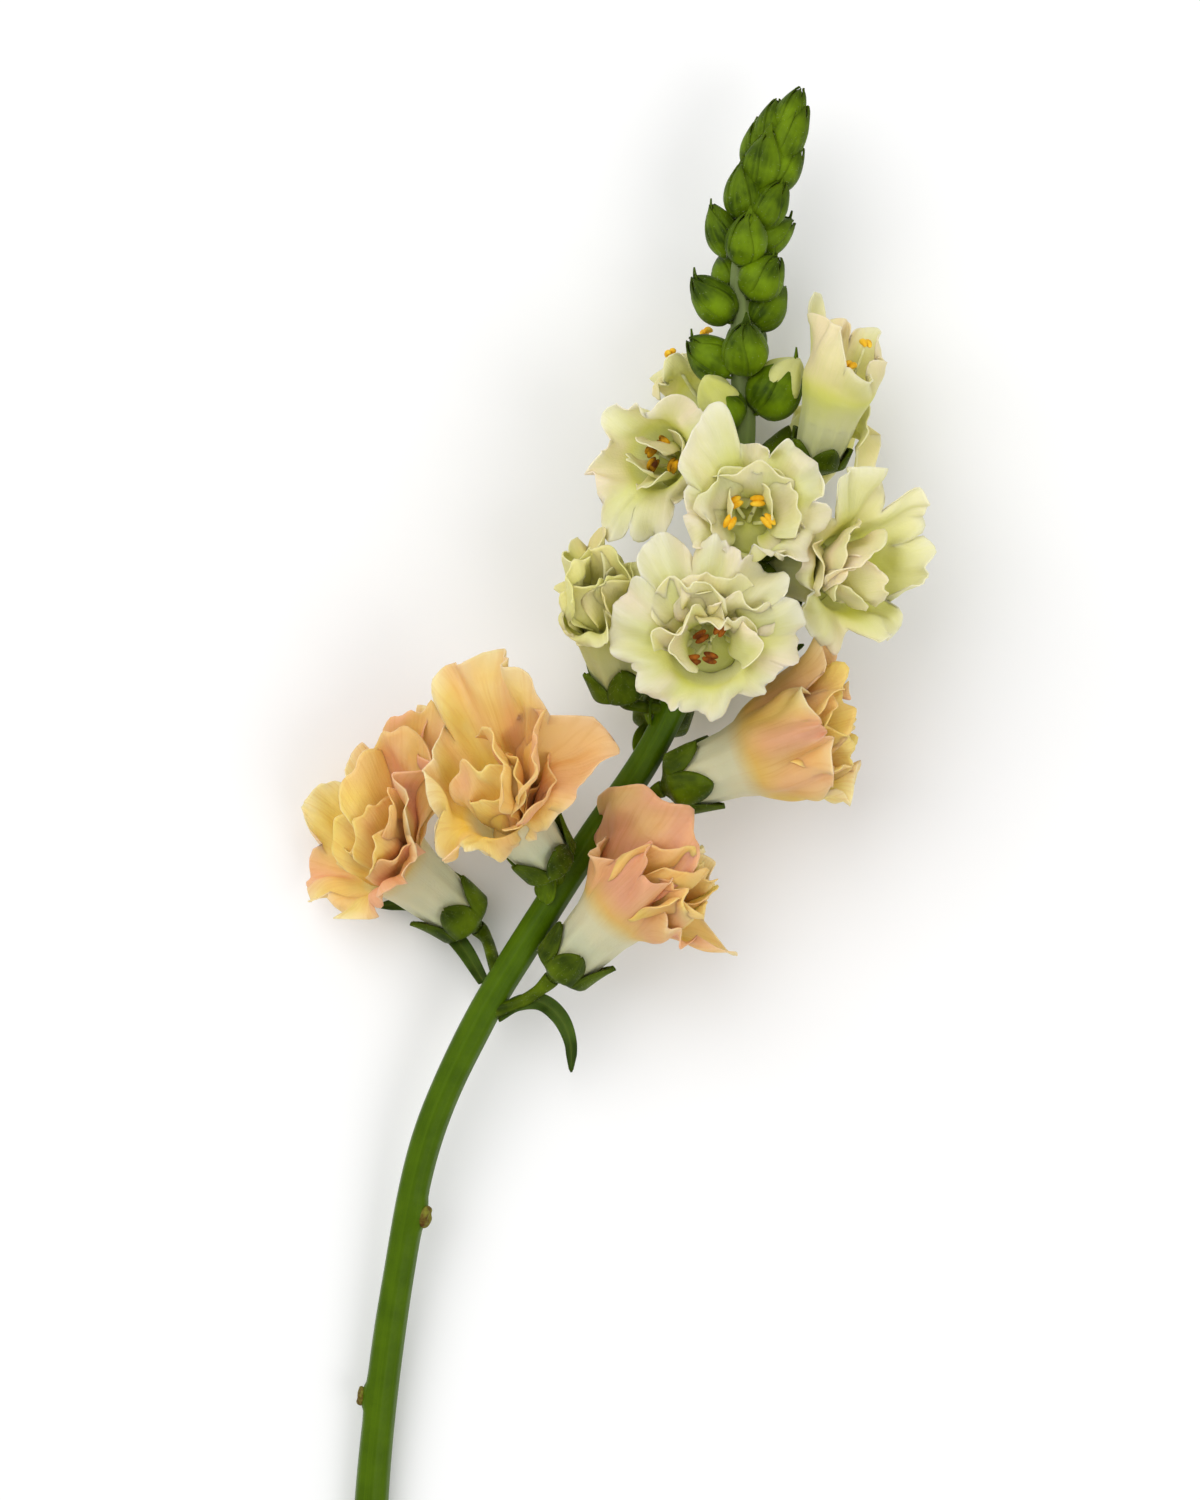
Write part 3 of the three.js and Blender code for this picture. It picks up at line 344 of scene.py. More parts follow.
CREAM_TONES = colour_stops(
    (0.0, 164, 176, 98), (0.3, 206, 210, 154), (0.45, 208, 211, 136), (0.57, 208, 211, 92),
    (0.72, 218, 218, 136), (0.9, 229, 225, 168), (1.0, 238, 233, 196),
)
PEACH_TONES = colour_stops(
    (0.0, 150, 164, 92), (0.25, 204, 208, 162), (0.45, 220, 214, 164), (0.58, 236, 184, 72),
    (0.72, 234, 186, 80), (0.9, 239, 202, 112), (1.0, 245, 220, 158),
)
cream = petal_finish("cream petal", CREAM_TONES, screen(250, 222, 188), screen(206, 208, 110), 0.18)
peach = petal_finish("peach petal", PEACH_TONES, screen(236, 158, 124), screen(214, 138, 62), 0.3)

# %% [markdown]
# The green parts share one recipe in several tones: blotches of two greens, lengthwise
# streaks along the UV map, a tint towards the tip, and a soft gloss. Pollen, hairs and scars
# are plainer: two colours in patches.

# %% Greens, pollen and hair
def green_finish(name, dark, light, tip, streaks, roughness=0.5, blotches=1.0):
    made, tree, shader = new_finish(name, roughness, subsurface=0.06, sheen=0.01, shine=0.08)
    patches = spread(tree, noise(tree, 160), 0.35, 0.68, 0.5 - blotches / 2, 0.5 + blotches / 2)
    tone = mixed(tree, patches, screen(*dark), screen(*light))
    lines = noise(tree, 1.0, 3.0, 0.2, stretch=streaks)
    tone = mixed(tree, spread(tree, lines, 0.45, 0.75, 0, 0.5), tone, screen(*light))
    tone = mixed(tree, mark_value(tree, "tip"), tone, screen(*tip))
    dress(tree, shader, tone, combined(tree, "ADD", lines, noise(tree, 1500, 2.0)), 0.15)
    return made


def plain_finish(name, first, second, roughness, subsurface=0.0, scale=600):
    made, tree, shader = new_finish(name, roughness, subsurface=subsurface)
    tone = mixed(tree, spread(tree, noise(tree, scale), 0.35, 0.65), screen(*first), screen(*second))
    dress(tree, shader, tone, noise(tree, scale * 3, 2.0), 0.1)
    return made


stem_green = green_finish("stem green", (50, 76, 0), (84, 113, 4), (206, 210, 160), (26, 3, 1), 0.38, 0.35)
sepal_green = green_finish("sepal green", (42, 58, 0), (92, 112, 6), (50, 62, 4), (9, 1.5, 1))
bud_green = green_finish("bud green", (48, 68, 0), (110, 138, 10), (36, 50, 2), (9, 1.5, 1))
leaf_green = green_finish("leaf green", (36, 54, 10), (66, 90, 26), (86, 106, 36), (16, 2, 1), 0.45)
pollen = plain_finish("ripe pollen", (226, 162, 16), (246, 206, 64), 0.75)
turning_pollen = plain_finish("turning pollen", (236, 176, 24), (84, 42, 8), 0.7, 0.0, 420)
old_pollen = plain_finish("spent pollen", (96, 46, 8), (168, 96, 26), 0.7)
scar_brown = plain_finish("dry scar", (84, 56, 12), (124, 124, 40), 0.7, 0.1, 700)
filament_cream = plain_finish("filament", (206, 206, 130), (228, 226, 170), 0.5, 0.2)
hair_white = plain_finish("fine hair", (196, 206, 160), (232, 236, 212), 0.5, 0.1)
print("finishes:", len(bpy.data.materials))

# %% [markdown]
# ## The stem
#
# The middle line of the stem is a smooth curve through listed points, each with its
# height above the table and its radius. A curve with a bevel would do for the tube, but the
# blooms, bracts and buds all ask where the stem is and which way it runs, so the line is
# worked out once in code and everything reads it.

# %% The middle line
STEM_LINE = np.array([  # x, y, height, radius
    [-48.2, -180, 3.5, 3.5], [-45.6, -142, 5.8, 3.35], [-41.1, -108, 9, 3.15], [-34.8, -78, 12.6, 3.1],
    [-24.1, -54, 15.8, 3.2], [-13.3, -36, 18, 3.15], [-1.6, -17.6, 20, 3.05], [10.2, 0, 21.4, 3],
    [20, 22, 22.6, 2.9], [25.6, 42, 23.4, 2.75], [28.4, 62, 24, 2.55], [28.3, 80, 24.2, 2.2],
    [28, 96, 24.2, 1.8], [30.4, 108, 24.2, 1.45], [35, 120, 24.2, 1.05], [39.2, 129, 24.2, 0.6],
])


def smooth_line(points, places):
    """Centripetal Catmull-Rom curve through points, at places from 0 to 1."""
    points = np.asarray(points, float)
    points = np.concatenate([[2 * points[0] - points[1]], points, [2 * points[-1] - points[-2]]])
    step = np.clip(np.asarray(places) * (len(points) - 3), 0, len(points) - 3 - 1e-9)
    low = step.astype(int)
    share = (step - low)[:, None]
    p0, p1, p2, p3 = (points[low + k] for k in range(4))
    d0, d1, d2 = (
        np.linalg.norm(b[:, :3] - a[:, :3], axis=1)[:, None] ** 0.5 for a, b in ((p0, p1), (p1, p2), (p2, p3))
    )
    t1 = ((p1 - p0) / d0 - (p2 - p0) / (d0 + d1) + (p2 - p1) / d1) * d1
    t2 = ((p2 - p1) / d1 - (p3 - p1) / (d1 + d2) + (p3 - p2) / d2) * d1
    a, b = 2 * p1 - 2 * p2 + t1 + t2, -3 * p1 + 3 * p2 - 2 * t1 - t2
    return a * share**3 + b * share**2 + t1 * share + p1


def along_line(points, places):
    """Points and directions along a smooth line."""
    places = np.asarray(places, float)
    ahead = smooth_line(points, np.minimum(places + 0.002, 1))
    behind = smooth_line(points, np.maximum(places - 0.002, 0))
    return smooth_line(points, places), unit((ahead - behind)[:, :3])


FINE_LINE, FINE_DIRECTION = along_line(STEM_LINE, np.linspace(0, 1, 1201))


def stem_frame(y, turn):
    """Centre, direction, outward direction and radius of the stem at y; turn 0 is up, 90 is +x."""
    row = int(np.argmin(np.abs(FINE_LINE[:, 1] - y)))
    direction = FINE_DIRECTION[row]
    return FINE_LINE[row, :3], direction, turned(*beside(direction), math.radians(turn)), FINE_LINE[row, 3]


print("stem length in mm:", round(float(np.linalg.norm(np.diff(FINE_LINE[:, :3], axis=0), axis=1).sum())))

# %% [markdown]
# The skin of the stem is a grid rolled round that line. Snapdragon stems have faint
# lengthwise ridges and swell a little where a leaf was. The foot was cut on a slant, and the
# cut shows paler pith inside a green rind.

# %% Stem skin
FOOT_SLANT = 0.45
RIDGES = 7
RIDGE_HEIGHT = 0.07
LEAF_SCARS = [(-93.5, 58, 2.3), (-131.5, -82, 2.0)]  # y, turn, size
SKIN_GRID = (48, 260)  # columns and rows
CUT_GRID = (48, 12)
SCAR_SWELL = 0.62  # how high the stem swells at a scar, as a share of the scar's size
DOWNY = 52  # from this y on, the stem is pale with fine down


def stem_place(across, along):
    centre, direction = along_line(STEM_LINE, along)
    radius, centre = centre[:, 3], centre[:, :3]
    turn = across * math.pi
    radius = radius + RIDGE_HEIGHT * np.cos(RIDGES * turn + 4 * along)
    radius = radius + 0.05 * crumple(centre, 3, 22)
    out = turned(*beside(direction), turn)
    points = centre + out * radius[:, None]
    for y, scar_turn, size in LEAF_SCARS:
        middle, _, scar_out, scar_radius = stem_frame(y, scar_turn)
        gap = np.linalg.norm(points - (middle + scar_out * scar_radius), axis=1)
        points = points + out * (SCAR_SWELL * size * np.exp(-((gap / size) ** 2)))[:, None]
    points[:, 1] -= np.where(along < 1e-6, (points[:, 0] - STEM_LINE[0, 0]) * FOOT_SLANT, 0)
    return points


def cut_end():
    """The slanted cut: a disc of rings, sunk a little between rind and pith."""
    middle, axes = STEM_LINE[0, :3], beside(FINE_DIRECTION[0])

    def place(across, along):
        turn = across * math.pi
        radius = STEM_LINE[0, 3] * along * (1 + RIDGE_HEIGHT / 3.5 * np.cos(RIDGES * turn) * along)
        points = middle + turned(*axes, turn) * radius[:, None]
        points[:, 1] -= (points[:, 0] - middle[0]) * FOOT_SLANT
        points[:, 1] += 0.25 * np.exp(-(((along - 0.8) / 0.08) ** 2)) + 0.15 * (1 - along)
        return points

    return sheet("cut", *CUT_GRID, place, lambda across, along: {"tip": 0.9 * (1 - ease((along - 0.7) / 0.15))})


def no_tip(across, along):
    return {"tip": np.zeros(len(along))}


def stem_marks(across, along):
    return {"tip": 0.22 * ease((along_line(STEM_LINE, along)[0][:, 1] - DOWNY) / 16)}


stem_skin = sheet("stem_skin", *SKIN_GRID, stem_place, stem_marks)

# %% [markdown]
# Where a leaf was stripped off, a dry brown crust stays on the swelling. It is low and lumpy.
# A sphere that is squeezed and then crumpled gives that with a few lines, where sculpting
# would not be the same in every run.

# %% Leaf scars
CRUST_GRID = (40, 24)
CRUST = (1.0, 0.72, 0.42)  # length, width and height of the dry crust, as shares of the scar's size


def scar_crust(y, turn, size):
    """The dry, lumpy crust where a leaf was stripped off."""
    middle, direction, out, radius = stem_frame(y, turn)
    crust, corners = ball(*CRUST_GRID)
    length, width, height = np.array(CRUST) * size
    points = middle + out * (radius + 0.4 * size) + direction * corners[:, 0:1] * length
    points = points + np.cross(direction, out) * corners[:, 1:2] * width + out * corners[:, 2:3] * height
    points = points + (points - middle) * (0.045 * crumple(points, 7, 2.2))[:, None]
    move_corners(crust.data, points)
    return crust


crusts = fuse("leaf_scars", [scar_crust(*row) for row in LEAF_SCARS])
complete(crusts, 0, scar_brown, "stem")

# %% [markdown]
# ## Buds and bracts
#
# A closed bud is an egg of five sepals. Each sepal overlaps its neighbour, has a keel down its
# back, and ends in a point. So a bud is built from five curved sheets wrapped round an egg,
# over a plain egg that closes the gaps. A narrow bract stands under every bud but the topmost few.

# %% Bud sheets
BUDS = [  # y on the stem, turn, length, width, lean, how far open
    (65.6, -48, 11, 8.4, 40, 0.42), (68.5, 74, 13.4, 10.8, 40, 0.12), (76, -80, 10.8, 8.8, 52, 0),
    (76.5, 5, 11.8, 8.8, 40, 0), (80, 168, 11, 7.8, 48, 0), (85.5, 112, 10.8, 8, 46, 0),
    (87, -70, 11.4, 8, 42, 0), (91.5, 56, 10.2, 8.6, 44, 0), (93, -160, 10, 7.4, 42, 0),
    (98, 6, 11, 8, 28, 0), (99.5, -82, 10.8, 6.8, 32, 0), (101.5, 100, 10, 7.2, 48, 0),
    (102, 178, 9.4, 6.6, 36, 0), (106, 46, 10.6, 7.6, 26, 0), (106.5, -42, 11.4, 7.4, 20, 0),
    (109.5, 176, 10, 6.6, 24, 0), (112.5, -18, 12.4, 7.8, 16, 0), (113.5, 64, 10.6, 7, 20, 0),
    (115.5, -96, 10.4, 6.4, 20, 0), (118.5, 34, 13.4, 6.6, 10, 0), (120, -74, 10.4, 6, 12, 0),
    (121, 170, 9, 4.6, 14, 0), (123.5, -6, 10.2, 5.6, 6, 0),
]
BUD_GRID = (12, 16)
CORE_GRID = (20, 14)
BRACT_GRID = (8, 16)
BUD_SINK = 0.12  # share of a bud's size that sits in the stem
SEPALS = 5
TOP_BRACT = 117  # buds above this y have no bract


def egg(along):
    """Radius of a bud along its length, 1 at its widest place."""
    return np.clip(np.sin(math.pi * np.clip(along, 0, 1) ** 0.78), 0, 1) ** 0.72


def bud_axis(row):
    """A bud's axis, and a function for points at an angle, a reach and a height about it."""
    y, turn, length, width, lean, opened = row
    centre, direction, out, radius = stem_frame(y, turn)
    axis = turned(direction, out, math.radians(lean))
    base = centre + out * (radius + width * BUD_SINK)
    away = unit(out - axis * np.dot(out, axis))
    other = np.cross(axis, away)

    def about(angle, reach, height):
        return base + axis * height[:, None] + turned(away, other, angle) * reach[:, None]

    return axis, about


def bud_sheets(row, number):
    y, turn, length, width, lean, opened = row
    axis, about = bud_axis(row)
    first = random.Random(number).uniform(0, 72)
    half = width / 2
    pieces = []
    for k in range(SEPALS):
        middle = math.radians(first + 72 * k)

        def sepal(across, along, middle=middle):
            half_angle = math.radians(60) * (1 - along**2.8) ** 0.75 + 0.03
            reach = half * egg(0.05 + 0.94 * along) * (0.97 + 0.03 * opened)
            reach = reach + 0.1 + 0.16 * across + 0.4 * (1 - np.abs(across)) ** 2 * (1 - along)
            reach = reach + (0.1 * (1 + math.sin(3 * middle)) + 2.4 * opened) * along**5
            height = 0.03 + (0.97 + 0.02 * math.sin(3 * middle)) * along * (1 - 0.22 * opened)
            points = about(middle + across * half_angle, reach, (height - BUD_SINK) * length)
            return points + 0.08 * crumple(points, number, 3)[:, None] * axis

        def marks(across, along):
            return {"tip": 0.5 * ease((along - 0.6) / 0.4) + 0.2 * np.abs(across) ** 4}

        pieces.append(sheet("sepal", *BUD_GRID, sepal, marks))

    def core(across, along):
        height = (0.02 + 0.93 * along - BUD_SINK) * length
        return about(across * math.pi, half * egg(along) * 0.9 + 0.02, height)

    return pieces + [sheet("core", *CORE_GRID, core, no_tip)]


def bract_sheet(y, turn, length, width, lean, seed):
    """A narrow pointed bract that leaves the stem and bends up along it."""
    centre, direction, out, radius = stem_frame(y, turn)
    side = unit(np.cross(direction, out))

    def place(across, along):
        bend = np.radians(lean) * (1 - 0.45 * along)
        half = (width / 2) * np.clip(np.sin(0.35 + 2.75 * along**0.8), 0.02, 1)
        points = centre + out * (radius - 0.4) + turned(direction, out, bend) * (along * length)[:, None]
        lift = np.abs(across) ** 1.5 * half * 0.45 + 0.12 * np.sin(9 * along + seed) * np.abs(across)
        return points + side * (across * half)[:, None] + out * lift[:, None]

    return sheet("bract", *BRACT_GRID, place, lambda across, along: {"tip": 0.4 * ease(along)})

# %% [markdown]
# The buds lowest on the spire already open: their sepals stand off and the young corolla
# shows between them as a closed, pleated knob.

# %% Young corollas
KNOB_GRID = (40, 24)


def knob_sheet(row):
    y, turn, length, width, lean, opened = row
    about = bud_axis(row)[1]

    def place(across, along):
        angle = across * math.pi
        reach = width / 2 * egg(along) * (0.86 + 0.12 * opened) * (1 + 0.1 * np.cos(5 * angle + 5 * along))
        return about(angle, reach + 0.02, (0.1 + (0.78 + 0.28 * opened) * along) * length)

    def marks(across, along):
        return {"depth": 0.04 + 0.2 * along, "blush": 0.0, "fresh": 0.0}

    return sheet("knob", *KNOB_GRID, place, marks)


BRACTS = [  # under the flower stalks: y, turn, length, width, lean
    (-31, -24, 7.5, 5, 44), (-14, 82, 8, 3.4, 46), (-2, -140, 8, 3.2, 40), (4, -66, 8, 3.2, 40),
    (31, 66, 8, 3.2, 50), (48.5, 74, 8, 3.2, 50), (50.5, -66, 8, 3.2, 50), (60, -118, 8, 3.2, 40),
]
bud_pieces = []
for number, row in enumerate(BUDS):
    y, turn, length, width, lean, opened = row
    bud_pieces += bud_sheets(row, number)
    if y < TOP_BRACT:
        bud_pieces.append(bract_sheet(y - 1.8, turn, length * 1.2, width * 0.56, lean + 20, number))
bud_pieces += [bract_sheet(*row, index) for index, row in enumerate(BRACTS)]
buds = fuse("buds", bud_pieces)
complete(buds, SEPAL, bud_green, "stem")
knobs = fuse("young_corollas", [knob_sheet(row) for row in BUDS if row[-1] > 0])
weld(knobs)
complete(knobs, PETAL, cream, "cream_petals")
stem = fuse("stem_skin", [stem_skin, cut_end()])
weld(stem, 0.01)
complete(stem, 0, stem_green, "stem", "stem")

# %% [markdown]
# ## Narrow leaves
#
# A few strap-shaped leaves stay on the stem. Each is folded along its midrib and narrows to a
# point, so it is a sheet along a smooth line.

# %% Leaves
LEAVES = [  # places on the midrib, and the width
    ([
        (-20.6, -53.8, 16.6), (-16.6, -51, 18.2), (-12, -50.6, 18.6), (-8.2, -53.6, 17.6), (-6, -58.6, 15.6),
        (-5.8, -65, 13),
    ], 3.4),
    ([
        (-23.4, -46.8, 14.6), (-28.8, -38.8, 8.6), (-36.6, -31.8, 4.2), (-45.6, -31.8, 2.6),
    ], 3.6),
    ([
        (19.6, 12.6, 20.2), (26, 13.8, 17), (33, 17, 15.8), (41, 21.2, 17),
    ], 3.2),
]
LEAF_TILT = np.array([0.0, 0.25, 1.0])
LEAF_GRID = (10, 44)


def leaf_sheet(line, width):
    def place(across, along):
        centre, direction = along_line(line, along)
        up, side = beside(direction, LEAF_TILT)
        half = width / 2 * (0.35 + 0.65 * np.sin(math.pi * (0.12 + 0.85 * along)))
        half = half * np.clip((1 - along) * 9, 0, 1) ** 0.5 + 0.04
        lift = np.abs(across) ** 1.3 * half * 0.35 + 0.15 * np.sin(14 * along) * np.abs(across) ** 2
        return centre + side * (across * half)[:, None] + up * lift[:, None]

    return sheet("leaf", *LEAF_GRID, place, lambda across, along: {"tip": 0.5 * (1 - np.abs(across)) ** 4})


for number, row in enumerate(LEAVES, start=1):
    blade = fuse(f"narrow_leaf_{number}", [leaf_sheet(*row)])
    complete(blade, SEPAL, leaf_green, "leaf", f"leaf_{number}")

# %% [markdown]
# ## The blooms
#
# Each bloom has a tube, given by the middle of its mouth, the way its throat looks, the side of
# its upper lip, its length and its bore. Its stalk leaves the stem at a height and an angle.
# The mouth flares by so many degrees. Some blooms also say how deep the clefts between their
# petals are (notch), how far those part (parted), how long the sepals are (calyx) and how green
# the bloom still is (fresh). A small class keeps these sizes together with the directions that
# follow from them, because petals, sepals, stamens and hairs all ask for them.

# %% A bloom and its axes
CAMERA_HEIGHT = 1.0
VIEW_LEVEL = 0.022  # height at which lengths are true when seen from above
INNER_FOOT = -4.2  # the inner petals start this far down the throat
INNER_SHARE = 0.5  # and this far out, as a share of the bore
MOUTH_SHARE = 0.93
TUBE_PLACES = [0, 0.1, 0.8, 1]
TUBE_RADII = [0.3, 0.6, 0.8, MOUTH_SHARE]
BLUSH = 0.2
ROUNDING = 0.12
USUAL = dict(inner=[], flare=14, notch=0.16, parted=3.2, calyx=1, fresh=0.0)


class Bloom:
    """A bloom's sizes and petals, with its directions: out of the throat, up to the lip, aside."""

    def __init__(self, **sizes):
        vars(self).update(USUAL, **sizes)
        self.mouth = np.array(self.mouth)
        self.out = pointing(*self.looks)
        lip = pointing(self.lip, 0)
        self.up = unit(lip - self.out * np.dot(lip, self.out))
        self.side = np.cross(self.up, self.out)

    def tube_radius(self, place):
        return self.bore * np.interp(place, TUBE_PLACES, TUBE_RADII)

    def points(self, forward, outward, degrees):
        """Points ahead along the throat's line and out from it, at an angle around it."""
        spoke = turned(self.up, self.side, np.radians(degrees))
        return self.mouth + self.out * forward[:, None] + spoke * outward[:, None]

    def aim(self, x, y, z):
        """A petal's tip, and the angle and the spoke on which it stands."""
        tip = seen(x, y, z)
        angle = math.atan2(np.dot(tip - self.mouth, self.side), np.dot(tip - self.mouth, self.up))
        return tip, math.degrees(angle) % 360, turned(self.up, self.side, angle)


def seen(x, y, z):
    """The place at height z that is seen at x, y from above the middle of the table."""
    share = (CAMERA_HEIGHT - z * MM) / (CAMERA_HEIGHT - VIEW_LEVEL)
    return np.array([x * share, y * share, z])

# %% [markdown]
# The petals are all different, so each is a row of its own: where its tip lies, how wide it is,
# how far it arches forward on the way, how much its sides cup, and how deep it is ruffled. The
# outer rows are the limb, which is one grown piece with the tube. They may go on with the
# blush, the rounding of the corners, the skew and the notch. The inner rows are the petals that
# crowd the throat of a double flower. They go on with a twist, and may end with the blush.

